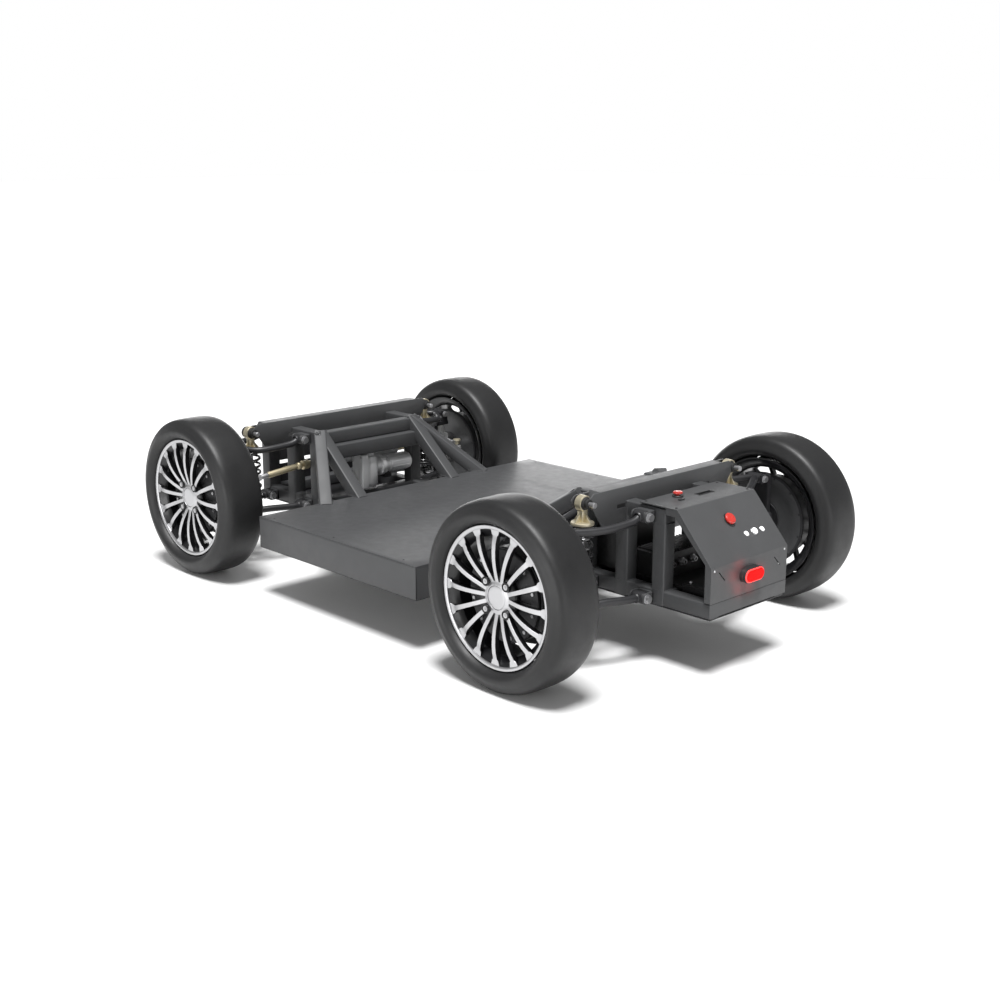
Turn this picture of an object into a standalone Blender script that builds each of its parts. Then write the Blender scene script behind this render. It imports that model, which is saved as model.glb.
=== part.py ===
"""Four wheel robot chassis with double wishbone suspension, in-wheel motors and electric steering.

Metres, +X forward, +Y left, +Z up.  The chassis is drawn about the middle of the wheelbase on the
floor, and an empty called chassis_origin then shifts it so that the box of the whole object is
centred on the origin.
"""
import bmesh
import bpy
from math import cos, pi, radians, sin
from mathutils import Matrix, Vector

# ---------------------------------------------------------------- driving dimensions
AXLE_X = 0.692            # half of the wheelbase
WHEEL_Z = 0.245           # wheel centre, and the tyre's radius
FIT = 0.0003              # gap kept between pieces that touch
RUN = 0.0006              # radial clearance of a sliding fit
TURN = 0.0016             # corner clearance that lets a six-sided pin turn in a six-sided bore

# deck
DECK_X, DECK_Y = 0.356, 0.564
DECK_BOTTOM, DECK_TOP = 0.149, 0.243
SHEET = 0.003

# wheel, as distances from the middle of the chassis along Y
RIM_FACE = 0.6056
RIM_INNER = 0.478
RIM_RADIUS = 0.1825
TYRE_RADIUS = WHEEL_Z
MOTOR_RADIUS = 0.120
MOTOR_FLANGE = 0.138      # the inner cover stands out past the housing
MOTOR_INNER, MOTOR_OUTER = 0.490, 0.5745
SPOKES = 16
WHEEL_SIDES = 24

# suspension: every arm is as long as its partner and lies parallel to it
PIVOT_Y = {"front": 0.240, "rear": 0.180}
LOWER_PIVOT_Z, UPPER_PIVOT_Z = 0.178, 0.395
OUTER_Y = 0.445
ARM_DROP = 0.020
LEG_X = (-0.103, 0.087)   # the two bushes of each arm, from the axle
SPRING_X = -0.008
ARM_WAIST = {True: 0.060, False: 0.066}   # half width of the lower and upper arm beside the spring
EYE_Y = {"front": 0.364, "rear": 0.2995}
EYE_Z = {"front": 0.418, "rear": 0.4325}
EYE_WIDE = 0.0155         # half width of a damper's eye
SEAT_Z = {"front": 0.362, "rear": 0.3765}   # underside of the spring's top seat
BOLT_R, BUSH_R, BUSH_HALF = 0.008, 0.016, 0.0195
PIN_R = 0.0075

# frame
TUBE = 0.042
POST_X = (-0.141, -0.0155, 0.125)
POST_Y = {"front": 0.217, "rear": 0.157}
RAIL_Z = (0.160, 0.200)
PAN_TOP = RAIL_Z[0] - FIT
PANEL_TOP = 0.345
TOP_RAIL_Z = (0.378, 0.418)
NOSE_TOP = 0.408          # the front frame is lower ahead of its beam
BEAM_X = (-0.028, 0.015)
BEAM_HALF = {"front": 0.340, "rear": 0.275}
BEAM_PLATE = 0.0037       # the rear wall of a beam, which reaches out to the dampers' studs
BEAM_Z = {"front": (0.352, 0.446), "rear": (0.360, 0.455)}
LEG_BAR = 0.036           # square tube of the legs that stand on the deck
LEG_FOOT_X, LEG_FOOT_Y = 0.358, (0.318, 0.193)
LEG_APEX_Y, LEG_APEX_Z = {"front": 0.190, "rear": 0.166}, 0.408
NOTCH_GAP = 0.002         # room round each leg where it passes the deck's cover

# steering
RACK_X = AXLE_X - 0.092
RACK_Z = 0.305
RACK_R = 0.011

# console at the rear end
CONSOLE_HALF = 0.160
CONSOLE_TOP_Z = 0.425
CONSOLE_PROFILE = ((-0.770, 0.425), (-0.893, 0.425), (-1.007, 0.295), (-1.007, 0.164))
LAMP_TIP_X = -1.030
# place down the slope, place across, radius
SLOPE_CONTROLS = {"stop_knob": (0.062, 0.000, 0.0165), "power_button": (0.1115, -0.066, 0.0090)}

FRONT_END = AXLE_X + TYRE_RADIUS
MID_X = (-LAMP_TIP_X - FRONT_END) / 2

SIDES = (("left", 1), ("right", -1))
ENDS = (("front", AXLE_X), ("rear", -AXLE_X))

# colour, roughness, metallic
FINISHES = {
    "frame_paint": ((0.055, 0.056, 0.058), 0.55, 0.1),
    "tube_paint": ((0.055, 0.056, 0.058), 0.55, 0.1),
    "cover_paint": ((0.075, 0.076, 0.078), 0.50, 0.1),
    "rubber": ((0.035, 0.035, 0.036), 0.80, 0.0),
    "rim_silver": ((0.62, 0.62, 0.64), 0.30, 1.0),
    "motor_black": ((0.020, 0.020, 0.022), 0.45, 0.4),
    "cast_grey": ((0.16, 0.165, 0.17), 0.50, 0.6),
    "zinc_gold": ((0.62, 0.55, 0.32), 0.35, 1.0),
    "steel": ((0.45, 0.45, 0.46), 0.35, 1.0),
    "arm_black": ((0.030, 0.030, 0.032), 0.45, 0.3),
    "red_plastic": ((0.55, 0.02, 0.015), 0.35, 0.0),
    "red_lens": ((0.85, 0.02, 0.02), 0.20, 0.0),
    "white_button": ((0.80, 0.80, 0.80), 0.35, 0.0),
    "pack_grey": ((0.10, 0.10, 0.105), 0.60, 0.0),
}


# ---------------------------------------------------------------- modelling helpers
def clear_scene():
    for item in list(bpy.data.objects):
        bpy.data.objects.remove(item, do_unlink=True)


def finish_material(name):
    made = bpy.data.materials.get(name)
    if made:
        return made
    colour, roughness, metallic = FINISHES[name]
    made = bpy.data.materials.new(name)
    made.use_nodes = True
    shader = made.node_tree.nodes["Principled BSDF"]
    shader.inputs["Base Color"].default_value = (*colour, 1.0)
    shader.inputs["Roughness"].default_value = roughness
    shader.inputs["Metallic"].default_value = metallic
    return made


def from_faces(points, faces):
    """A loose object, not yet named, from points and faces."""
    mesh = bpy.data.meshes.new("shape")
    mesh.from_pydata([tuple(p) for p in points], [], faces)
    mesh.update()
    shape = bpy.data.objects.new("shape", mesh)
    bpy.context.scene.collection.objects.link(shape)
    face_out(shape)
    return shape


def face_out(shape):
    work = bmesh.new()
    work.from_mesh(shape.data)
    bmesh.ops.recalc_face_normals(work, faces=work.faces)
    work.to_mesh(shape.data)
    work.free()


def box(low, high):
    (a, b, c), (d, e, f) = low, high
    points = [(x, y, z) for x in (a, d) for y in (b, e) for z in (c, f)]
    faces = [(0, 1, 3, 2), (4, 6, 7, 5), (0, 4, 5, 1), (2, 3, 7, 6), (0, 2, 6, 4), (1, 5, 7, 3)]
    return from_faces(points, faces)


def side_box(side, x, y, z):
    """A box given by ranges, with y measured outwards on the given side."""
    low_y, high_y = sorted((side * y[0], side * y[1]))
    return box((x[0], low_y, z[0]), (x[1], high_y, z[1]))


def loft(rings):
    """A closed solid through rings of points, all of one length, with flat ends."""
    size = len(rings[0])
    faces = [tuple(range(size)), tuple(range((len(rings) - 1) * size, len(rings) * size))]
    for ring in range(len(rings) - 1):
        for i in range(size):
            j = (i + 1) % size
            start = ring * size
            faces.append((start + i, start + j, start + size + j, start + size + i))
    return from_faces([p for ring in rings for p in ring], faces)


def prism(outline, axis, low, high):
    """An outline extruded along one axis; its points are the other two axes, in X, Y, Z order."""
    def at(level):
        return [list(p[:axis]) + [level] + list(p[axis:]) for p in outline]
    return loft([at(low), at(high)])


def axis_frame(direction):
    """Two unit vectors square to a direction, the first as near level as it can be."""
    direction = Vector(direction).normalized()
    helper = Vector((0, 0, 1)) if abs(direction.z) < 0.9 else Vector((1, 0, 0))
    first = helper.cross(direction).normalized()
    return first, direction.cross(first).normalized()


def rod(start, end, radius, sides=16, end_radius=None):
    """A round bar or cone between two points."""
    start, end = Vector(start), Vector(end)
    u, v = axis_frame(end - start)
    rings = []
    for centre, r in ((start, radius), (end, end_radius or radius)):
        rings.append([centre + r * (cos(2 * pi * i / sides) * u + sin(2 * pi * i / sides) * v)
                      for i in range(sides)])
    return loft(rings)


def sweep(path, radius, sides=10):
    """A round bar along a list of points."""
    path = [Vector(p) for p in path]
    rings = []
    for i, point in enumerate(path):
        before, after = path[max(i - 1, 0)], path[min(i + 1, len(path) - 1)]
        u, v = axis_frame(after - before)
        rings.append([point + radius * (cos(2 * pi * k / sides) * u + sin(2 * pi * k / sides) * v)
                      for k in range(sides)])
    return loft(rings)


def smooth_path(points, steps=3):
    """Points on a smooth curve through the given ones."""
    points = [Vector(p) for p in points]
    ends = [points[0] * 2 - points[1]] + points + [points[-1] * 2 - points[-2]]
    result = []
    for i in range(1, len(ends) - 2):
        a, b, c, d = ends[i - 1:i + 3]
        for step in range(steps):
            t = step / steps
            result.append(0.5 * (2 * b + (c - a) * t + (2 * a - 5 * b + 4 * c - d) * t * t
                                 + (3 * b - a - 3 * c + d) * t ** 3))
    return result + [points[-1]]


def square_bar(start, end, width):
    """A square tube between two points, with one pair of faces kept upright."""
    start, end = Vector(start), Vector(end)
    u, v = axis_frame(end - start)
    corners = ((-1, -1), (1, -1), (1, 1), (-1, 1))
    return loft([[centre + width / 2 * (a * u + b * v) for a, b in corners] for centre in (start, end)])


def turned(profile, centre, axis, segments=24):
    """A ring turned about an axis through centre, from a closed profile of (radius, along) points.

    Its flats, not its corners, lie at the bottom, top and sides, and the radii are those of the flats.
    """
    stretch = 1 / cos(pi / segments)
    axis = Vector(axis).normalized()
    u, v = axis_frame(axis)
    centre = Vector(centre)
    size = len(profile)
    points, faces = [], []
    for i in range(segments):
        turn = 2 * pi * (i + 0.5) / segments
        spoke = stretch * (cos(turn) * u + sin(turn) * v)
        points += [centre + along * axis + radius * spoke for radius, along in profile]
    for i in range(segments):
        j = (i + 1) % segments
        for k in range(size):
            m = (k + 1) % size
            faces.append((i * size + k, i * size + m, j * size + m, j * size + k))
    return from_faces(points, faces)


def sphere(centre, radius):
    work = bmesh.new()
    bmesh.ops.create_uvsphere(work, u_segments=10, v_segments=6, radius=radius)
    mesh = bpy.data.meshes.new("shape")
    work.to_mesh(mesh)
    work.free()
    mesh.transform(Matrix.Translation(Vector(centre)))
    shape = bpy.data.objects.new("shape", mesh)
    bpy.context.scene.collection.objects.link(shape)
    return shape


def combine(base, others, operation, solver="EXACT"):
    for other in others:
        modifier = base.modifiers.new(operation, "BOOLEAN")
        modifier.operation = operation
        modifier.solver = solver
        modifier.object = other
    graph = bpy.context.evaluated_depsgraph_get()
    result = bpy.data.meshes.new_from_object(base.evaluated_get(graph))
    base.modifiers.clear()
    base.data = result
    for other in others:
        bpy.data.objects.remove(other, do_unlink=True)
    return base


def union(*shapes):
    return combine(shapes[0], shapes[1:], "UNION")


def cut(base, *tools):
    return combine(base, tools, "DIFFERENCE")


def publish(shape, name, finish, pivot=(0, 0, 0)):
    """Name a finished shape, move its origin to its pivot and hang it on the chassis origin."""
    shape.name = name
    shape.data.name = name
    shape.data.transform(Matrix.Translation(-Vector(pivot)))
    shape.location = Vector(pivot)
    shape.parent = CHASSIS
    shape.data.materials.clear()
    shape.data.materials.append(finish_material(finish))
    shape.data.shade_smooth()
    shape.data.set_sharp_from_angle(angle=radians(30))
    return shape


# ---------------------------------------------------------------- deck
def leg_bar(end, side, foot_y, width):
    """One leg of the inverted V between the deck's edge and the frame, drawn on past its foot."""
    toward = 1 if end == "front" else -1
    apex_x = AXLE_X + POST_X[0] if end == "front" else -AXLE_X + POST_X[2]
    foot = Vector((toward * LEG_FOOT_X, side * foot_y, DECK_TOP))
    apex = Vector((apex_x, side * LEG_APEX_Y[end], LEG_APEX_Z))
    return square_bar(foot - 0.25 * (apex - foot), apex, width)


def pans():
    """Sheets that run from the tray under both frames, and up across the front with a slit in it."""
    low = PAN_TOP - SHEET
    nose = AXLE_X + POST_X[-1] + TUBE / 2 + FIT
    front_half, rear_half = POST_Y["front"] - 0.002, POST_Y["rear"] - 0.002
    front = box((DECK_X - 0.002, -front_half, low), (nose + SHEET, front_half, PAN_TOP))
    rear = box((-1.003, -rear_half, low), (-DECK_X + 0.002, rear_half, PAN_TOP))
    panel = box((nose, -front_half, low), (nose + SHEET, front_half, PANEL_TOP))
    slit = box((nose - 0.01, -0.175, 0.258), (nose + 0.01, 0.175, 0.270))
    return [front, rear, cut(panel, slit)]


def deck():
    tray = box((-DECK_X, -DECK_Y, DECK_BOTTOM), (DECK_X, DECK_Y, DECK_TOP - SHEET - FIT))
    hollow = box((-DECK_X + SHEET, -DECK_Y + SHEET, DECK_BOTTOM + SHEET), (DECK_X - SHEET, DECK_Y - SHEET, 1))
    publish(union(cut(tray, hollow), *pans()), "deck_tray", "frame_paint")
    cover = box((-DECK_X, -DECK_Y, DECK_TOP - SHEET), (DECK_X, DECK_Y, DECK_TOP))
    notches = [leg_bar(end, side, foot_y, LEG_BAR + 2 * NOTCH_GAP)
               for end in ("front", "rear") for side in (-1, 1) for foot_y in LEG_FOOT_Y]
    publish(cut(cover, *notches), "deck_cover", "cover_paint")
    low = DECK_BOTTOM + SHEET + FIT
    publish(box((-0.30, -0.46, low), (0.30, 0.46, 0.228)), "battery_pack", "pack_grey")


# ---------------------------------------------------------------- frames
def arm_bracket(side, x, pivot_y, z, rail_y):
    """Two ears either side of an arm bush, standing on the frame, and the hexagon bolt through them."""
    inner, outer = BUSH_HALF + FIT, BUSH_HALF + 0.0055
    pieces = []
    for sign in (-1, 1):
        edges = sorted((x + sign * inner, x + sign * outer))
        pieces.append(side_box(side, edges, (rail_y - 0.004, pivot_y + 0.015), (z - 0.0155, z + 0.0155)))
    head, tail = x - outer - 0.009, x + outer + 0.007
    pieces.append(rod((head, side * pivot_y, z), (tail, side * pivot_y, z), BOLT_R, 6))
    return pieces


def frame_side(end, axle, side):
    """Rails, posts and arm brackets on one side of a frame."""
    outer = POST_Y[end]
    inner = outer - TUBE
    pivot = PIVOT_Y[end]
    pieces = []
    for post in POST_X:
        x = axle + post
        top = NOSE_TOP - 0.0005 if end == "front" and post == POST_X[-1] else 0.4170
        pieces.append(side_box(side, (x - TUBE / 2, x + TUBE / 2), (inner, outer), (RAIL_Z[0] + 0.001, top)))
    first, last = axle + POST_X[0] - TUBE / 2 + 0.001, axle + POST_X[-1] + TUBE / 2 - 0.001
    step = axle + BEAM_X[1] if end == "front" else last
    pieces.append(side_box(side, (first, step), (inner + 0.001, outer - 0.001), TOP_RAIL_Z))
    pieces.append(side_box(side, (first, last), (inner + 0.001, outer - 0.001), (TOP_RAIL_Z[0], NOSE_TOP)))
    rail = (DECK_X + FIT, last) if end == "front" else (-1.0035, -DECK_X - FIT)
    pieces.append(side_box(side, rail, (inner + 0.0015, outer - 0.0015), RAIL_Z))
    for leg in LEG_X:
        for z in (LOWER_PIVOT_Z, UPPER_PIVOT_Z):
            pieces += arm_bracket(side, axle + leg, pivot, z, outer)
    return pieces


def deck_legs(end, side):
    """The inverted V, standing on the rim of the tray through notches in its cover."""
    sole = box((-2, -2, -1), (2, 2, DECK_TOP - SHEET))
    return cut(union(*[leg_bar(end, side, foot_y, LEG_BAR) for foot_y in LEG_FOOT_Y]), sole)


def cross_tubes(end, axle):
    half = POST_Y[end] - 0.004
    deck_post = axle + (POST_X[0] if end == "front" else POST_X[2])
    toward = -1 if end == "front" else 1
    pieces = []
    for post in (POST_X[0], POST_X[2]):
        x = axle + post
        pieces.append(box((x - 0.0195, -half, RAIL_Z[0] + 0.002), (x + 0.0195, half, RAIL_Z[1] - 0.002)))
    pieces.append(box((deck_post - 0.0195, -half, 0.374), (deck_post + 0.0195, half, 0.4150)))
    near, far = sorted((deck_post + toward * 0.002, deck_post + toward * 0.044))
    pieces.append(box((near, -half + 0.002, 0.326), (far, half - 0.002, 0.370)))
    return pieces


def frame(end, axle):
    pieces = cross_tubes(end, axle)
    for _, side in SIDES:
        pieces += frame_side(end, axle, side)
        pieces.append(deck_legs(end, side))
    body = union(*pieces)
    publish(body, f"{end}_frame", "tube_paint")


def beam(end, axle):
    """A deep folded channel across the frame, with a stud at each end for a damper's eye."""
    low, high = BEAM_Z[end]
    rear, front = axle + BEAM_X[0], axle + BEAM_X[1]
    half = BEAM_HALF[end]
    chamfer = 0.030
    outline = [(-half, high - 0.040), (-half + 0.024, high), (half - 0.024, high), (half, high - 0.040),
               (half - chamfer, low), (-half + chamfer, low)]
    body = prism(outline, 0, rear, front)
    wall = 0.004
    hollow = box((rear + wall, -1, low - 0.02), (front + 0.02, 1, high - wall))
    body = cut(body, hollow)
    saddle = POST_Y[end]
    tip, corner_y, foot = EYE_Y[end] + 0.002, EYE_Y[end] - 0.0215, EYE_Y[end] - 0.055
    arrow = [(-tip, high - 0.015), (-corner_y, high), (corner_y, high), (tip, high - 0.015),
             (foot, low), (-foot, low)]
    pieces = [body, prism(arrow, 0, rear, rear + BEAM_PLATE)]
    floor = TOP_RAIL_Z[1] + FIT
    pieces.append(box((rear + 0.002, -saddle, floor), (front - 0.002, saddle, high - 0.002)))
    for _, side in SIDES:
        eye = (side * EYE_Y[end], EYE_Z[end])
        spring = axle + SPRING_X
        ear = (spring + 0.019, spring + 0.024)
        pieces.append(side_box(side, ear, (half - 0.060, half - 0.026), (eye[1] - 0.018, high - 0.002)))
        pieces.append(side_box(side, ear, (half - 0.030, EYE_Y[end]), (eye[1] - 0.0178, eye[1] + 0.0178)))
        pieces.append(rod((spring + 0.019, *eye), (spring + 0.024, *eye), 0.018, 10))
        pieces.append(rod((spring - 0.044, *eye), (spring + 0.034, *eye), 0.0075, 8))
    body = union(*pieces)
    slots = []
    for y in (-0.62 * half, 0.62 * half):
        slots.append(box((rear - 0.01, y - 0.020, high - 0.055), (rear + 0.0025, y + 0.020, high - 0.043)))
    for _, side in SIDES:
        slots.append(side_box(side, (rear - 0.01, front + 0.01), (saddle - TUBE - FIT, saddle + FIT),
                              (0, floor + 0.0005)))
    publish(cut(body, *slots), f"{end}_beam", "cover_paint")


# ---------------------------------------------------------------- corners
def arm(axle, end, side, pivot_z, lift, brace):
    """A wishbone: two bushes at the frame, two bowed legs and one sleeve at the wheel carrier."""
    pivot_y, outer_z = PIVOT_Y[end], pivot_z - ARM_DROP
    spring_y = EYE_Y[end]
    pieces = []
    for leg in LEG_X:
        x = axle + leg
        sign = -1 if leg < 0 else 1
        waist = axle + SPRING_X + sign * ARM_WAIST[brace]
        path = smooth_path([
            (x, side * (pivot_y + 0.006), pivot_z), (x - sign * 0.004, side * (pivot_y + 0.040), pivot_z + 0.6 * lift),
            (waist, side * (spring_y + (0.006 if brace else 0.010)), pivot_z + lift),
            (axle + sign * 0.015, side * (OUTER_Y - 0.030), outer_z + 0.001),
            (axle + sign * 0.007, side * (OUTER_Y - 0.008), outer_z)], 1)
        pieces.append(sweep(path, 0.0115, 4))
        pieces.append(rod((x - BUSH_HALF, side * pivot_y, pivot_z), (x + BUSH_HALF, side * pivot_y, pivot_z), BUSH_R, 10))
    pieces.append(rod((axle - 0.022, side * OUTER_Y, outer_z), (axle + 0.022, side * OUTER_Y, outer_z), 0.0145, 10))
    if brace:
        ends = [axle + SPRING_X + sign * ARM_WAIST[brace] for sign in (-1, 1)]
        z = pivot_z + lift
        pieces.append(rod((ends[0], side * spring_y, z), (ends[1], side * spring_y, z), PIN_R, 6))
    body = union(*pieces)
    holes = [rod((axle + leg - 0.03, side * pivot_y, pivot_z), (axle + leg + 0.03, side * pivot_y, pivot_z),
                 BOLT_R + TURN, 6) for leg in LEG_X]
    holes.append(rod((axle - 0.03, side * OUTER_Y, outer_z), (axle + 0.03, side * OUTER_Y, outer_z), PIN_R + TURN, 6))
    return cut(body, *holes)


def carrier_ears(axle, side, z, reach_y, reach_z):
    """Two ears either side of an arm's outer sleeve, and the pin through them."""
    pieces = []
    for sign in (-1, 1):
        edges = sorted((axle + sign * 0.0225, axle + sign * 0.0295))
        pieces.append(side_box(side, edges, reach_y, reach_z))
    pieces.append(rod((axle - 0.034, side * OUTER_Y, z), (axle + 0.034, side * OUTER_Y, z), PIN_R, 6))
    return pieces


def rear_carrier(axle, side):
    low, high = LOWER_PIVOT_Z - ARM_DROP, UPPER_PIVOT_Z - ARM_DROP
    pieces = [side_box(side, (axle - 0.0295, axle + 0.0295), (0.463, 0.4795), (low - 0.006, high + 0.006)),
              rod((axle, side * 0.440, WHEEL_Z), (axle, side * 0.4797, WHEEL_Z), 0.042, 12)]
    for z in (low, high):
        pieces += carrier_ears(axle, side, z, (OUTER_Y - 0.0125, 0.470), (z - 0.0125, z + 0.0125))
    return union(*pieces)


def steering_carrier(axle, side):
    """The C-shaped carrier between the arms, with a kingpin that the knuckle turns on."""
    low, high = LOWER_PIVOT_Z - ARM_DROP, UPPER_PIVOT_Z - ARM_DROP
    pieces = [side_box(side, (axle - 0.020, axle + 0.020), (0.405, 0.418), (0.186, 0.350))]
    for level in ((0.186, 0.196), (0.337, 0.350)):
        pieces.append(side_box(side, (axle - 0.0295, axle + 0.0295), (0.4055, 0.4605), level))
    pieces += carrier_ears(axle, side, low, (OUTER_Y - 0.012, OUTER_Y + 0.012), (low - 0.013, 0.190))
    pieces += carrier_ears(axle, side, high, (OUTER_Y - 0.012, OUTER_Y + 0.012), (0.343, high + 0.013))
    pieces.append(rod((axle, side * OUTER_Y, 0.190), (axle, side * OUTER_Y, 0.343), PIN_R, 6))
    return union(*pieces)


def knuckle(axle, side):
    """The steered upright: a barrel on the kingpin, the axle's flange and the steering arm."""
    low, high = 0.1965, 0.3365
    barrel = rod((axle, side * OUTER_Y, low), (axle, side * OUTER_Y, high), 0.0165, 10)
    flange = rod((axle, side * 0.452, WHEEL_Z), (axle, side * 0.4797, WHEEL_Z), 0.036, 12)
    web = side_box(side, (axle - 0.011, axle + 0.011), (0.446, 0.474), (0.205, 0.300))
    arm_end = axle - 0.092
    lever = side_box(side, (arm_end, axle), (OUTER_Y - 0.009, OUTER_Y + 0.009), (0.259, 0.270))
    pad = rod((arm_end, side * OUTER_Y, 0.258), (arm_end, side * OUTER_Y, 0.271), 0.0145, 8)
    stud = rod((arm_end, side * OUTER_Y, 0.265), (arm_end, side * OUTER_Y, 0.274), 0.0050, 6)
    body = union(barrel, flange, web, lever, pad, stud)
    bore = rod((axle, side * OUTER_Y, low - 0.01), (axle, side * OUTER_Y, high + 0.01), PIN_R + TURN, 6)
    return cut(body, bore)


def damper_upper(axle, end, side):
    """The eye with its stem, the spring's top seat and the piston rod."""
    x, y, z = axle + SPRING_X, side * EYE_Y[end], EYE_Z[end]
    seat_z = SEAT_Z[end]
    section = [(0.0085, -EYE_WIDE), (0.021, -EYE_WIDE), (0.021, EYE_WIDE), (0.0085, EYE_WIDE)]
    eye = turned(section, (x, y, z), (1, 0, 0), 10)
    stem = rod((x, y, seat_z + 0.008), (x, y, z - 0.014), 0.0155, 8, 0.0145)
    seat = rod((x, y, seat_z), (x, y, seat_z + 0.009), 0.0314, 12, 0.0295)
    piston = rod((x, y, 0.235), (x, y, seat_z + 0.002), 0.006, 6)
    return union(stem, eye, seat, piston)


def damper_lower(axle, end, side):
    """The damper's tube with the spring's lower seat, and the eye round the lower arm's pin."""
    x, y = axle + SPRING_X, side * EYE_Y[end]
    pin_z = LOWER_PIVOT_Z
    tube = rod((x, y, pin_z + 0.008), (x, y, 0.305), 0.018, 8)
    seat = rod((x, y, 0.208), (x, y, 0.216), 0.034, 12)
    eye = rod((x - 0.011, y, pin_z), (x + 0.011, y, pin_z), 0.0155, 8)
    bore = rod((x, y, 0.200), (x, y, 0.320), 0.006 + RUN, 6)
    hole = rod((x - 0.03, y, pin_z), (x + 0.03, y, pin_z), PIN_R + 0.0035, 6)
    return cut(union(tube, seat, eye), bore, hole)


def spring(axle, end, side):
    """A coil between the two seats."""
    x, y = axle + SPRING_X, side * EYE_Y[end]
    wire, radius = 0.0042, 0.0265
    low, high = 0.216 + wire + FIT, SEAT_Z[end] - wire - FIT
    turns, per_turn = 6, 8
    count = int(turns * per_turn)
    path = []
    for i in range(count + 1):
        angle = 2 * pi * i / per_turn
        path.append((x + radius * cos(angle), y + side * radius * sin(angle), low + (high - low) * i / count))
    return sweep(path, wire, 4)


def tyre(axle, side):
    """A C-shaped carcass, open towards the rim."""
    bead = RIM_RADIUS + 0.0005
    profile = [(bead, 0.4810), (0.216, 0.4680), (0.2400, 0.4840), (TYRE_RADIUS, 0.5050), (TYRE_RADIUS, 0.5850),
               (0.2400, 0.6060), (0.216, 0.6220), (bead, 0.6060), (bead, 0.5985), (0.232, 0.5900),
               (0.232, 0.5000), (bead, 0.4900)]
    return turned([(r, side * y) for r, y in profile], (axle, 0, WHEEL_Z), (0, 1, 0), WHEEL_SIDES)


def rim(axle, side):
    """A barrel with a ring at its face, joined to the hub plate by slim spokes in four groups."""
    barrel_r = 0.160
    profile = [(RIM_RADIUS, RIM_INNER), (barrel_r + 0.003, 0.500), (barrel_r + 0.003, 0.580),
               (RIM_RADIUS, 0.5975), (RIM_RADIUS, RIM_FACE), (0.1670, RIM_FACE - 0.001),
               (barrel_r - 0.002, 0.583), (barrel_r - 0.002, RIM_INNER)]
    pieces = [turned([(r, side * y) for r, y in profile], (axle, 0, WHEEL_Z), (0, 1, 0), WHEEL_SIDES)]
    pieces.append(rod((axle, side * 0.5750, WHEEL_Z), (axle, side * 0.5950, WHEEL_Z), 0.066, 12))
    step = 2 * pi / SPOKES
    for i in range(SPOKES):
        angle = i * step
        across = Vector((-sin(angle), 0, cos(angle)))
        rings = []
        for radius, face, width in ((0.060, 0.594, 0.0045), (0.173, 0.6035, 0.0050)):
            centre = Vector((axle + radius * cos(angle), 0, WHEEL_Z + radius * sin(angle)))
            rings.append([centre + a * width * across + Vector((0, side * y, 0))
                          for a, y in ((-1, face), (1, face), (0, face - 0.014))])
        pieces.append(loft(rings))
    return combine(pieces[0], pieces[1:], "UNION", "MANIFOLD")


def motor_shell(axle, side):
    """The rotor housing of the in-wheel motor: two covers and a rim round the stator."""
    r, inner, outer = MOTOR_RADIUS, MOTOR_INNER, MOTOR_OUTER
    flange = MOTOR_FLANGE
    profile = [(0.030, inner), (flange, inner), (flange, inner + 0.007), (r, inner + 0.010), (r, outer),
               (0.012, outer), (0.012, outer - 0.006), (r - 0.008, outer - 0.006), (r - 0.008, inner + 0.006),
               (0.030, inner + 0.006)]
    return turned([(a, side * y) for a, y in profile], (axle, 0, WHEEL_Z), (0, 1, 0), 16)


def motor_stator(axle, side):
    """The still half of the motor: its core and the axle that bolts to the carrier."""
    start = 0.4800
    core = rod((axle, side * 0.499, WHEEL_Z), (axle, side * 0.565, WHEEL_Z), 0.103, 16)
    shaft = rod((axle, side * start, WHEEL_Z), (axle, side * 0.500, WHEEL_Z), 0.026, 12)
    return union(core, shaft)


def corner(end, axle, name, side):
    label = f"{end}_{name}"
    outer = (axle, side * OUTER_Y)
    low, high = LOWER_PIVOT_Z, UPPER_PIVOT_Z
    pivot = PIVOT_Y[end]
    publish(arm(axle, end, side, low, 0.0, True), f"{label}_lower_arm", "arm_black", (axle, side * pivot, low))
    publish(arm(axle, end, side, high, -0.022, False), f"{label}_upper_arm", "arm_black", (axle, side * pivot, high))
    if end == "front":
        publish(steering_carrier(axle, side), f"{label}_carrier", "cast_grey", (*outer, low - ARM_DROP))
        publish(knuckle(axle, side), f"{label}_knuckle", "cast_grey", (*outer, WHEEL_Z))
    else:
        publish(rear_carrier(axle, side), f"{label}_carrier", "cast_grey", (*outer, low - ARM_DROP))
    publish(damper_upper(axle, end, side), f"{label}_damper_eye", "zinc_gold")
    publish(damper_lower(axle, end, side), f"{label}_damper_tube", "steel")
    publish(spring(axle, end, side), f"{label}_spring", "steel")
    hub = (axle, side * RIM_FACE, WHEEL_Z)
    publish(tyre(axle, side), f"{label}_tyre", "rubber", hub)
    publish(rim(axle, side), f"{label}_rim", "rim_silver", hub)
    publish(motor_shell(axle, side), f"{label}_motor_shell", "motor_black", hub)
    publish(motor_stator(axle, side), f"{label}_motor_stator", "steel", hub)


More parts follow.
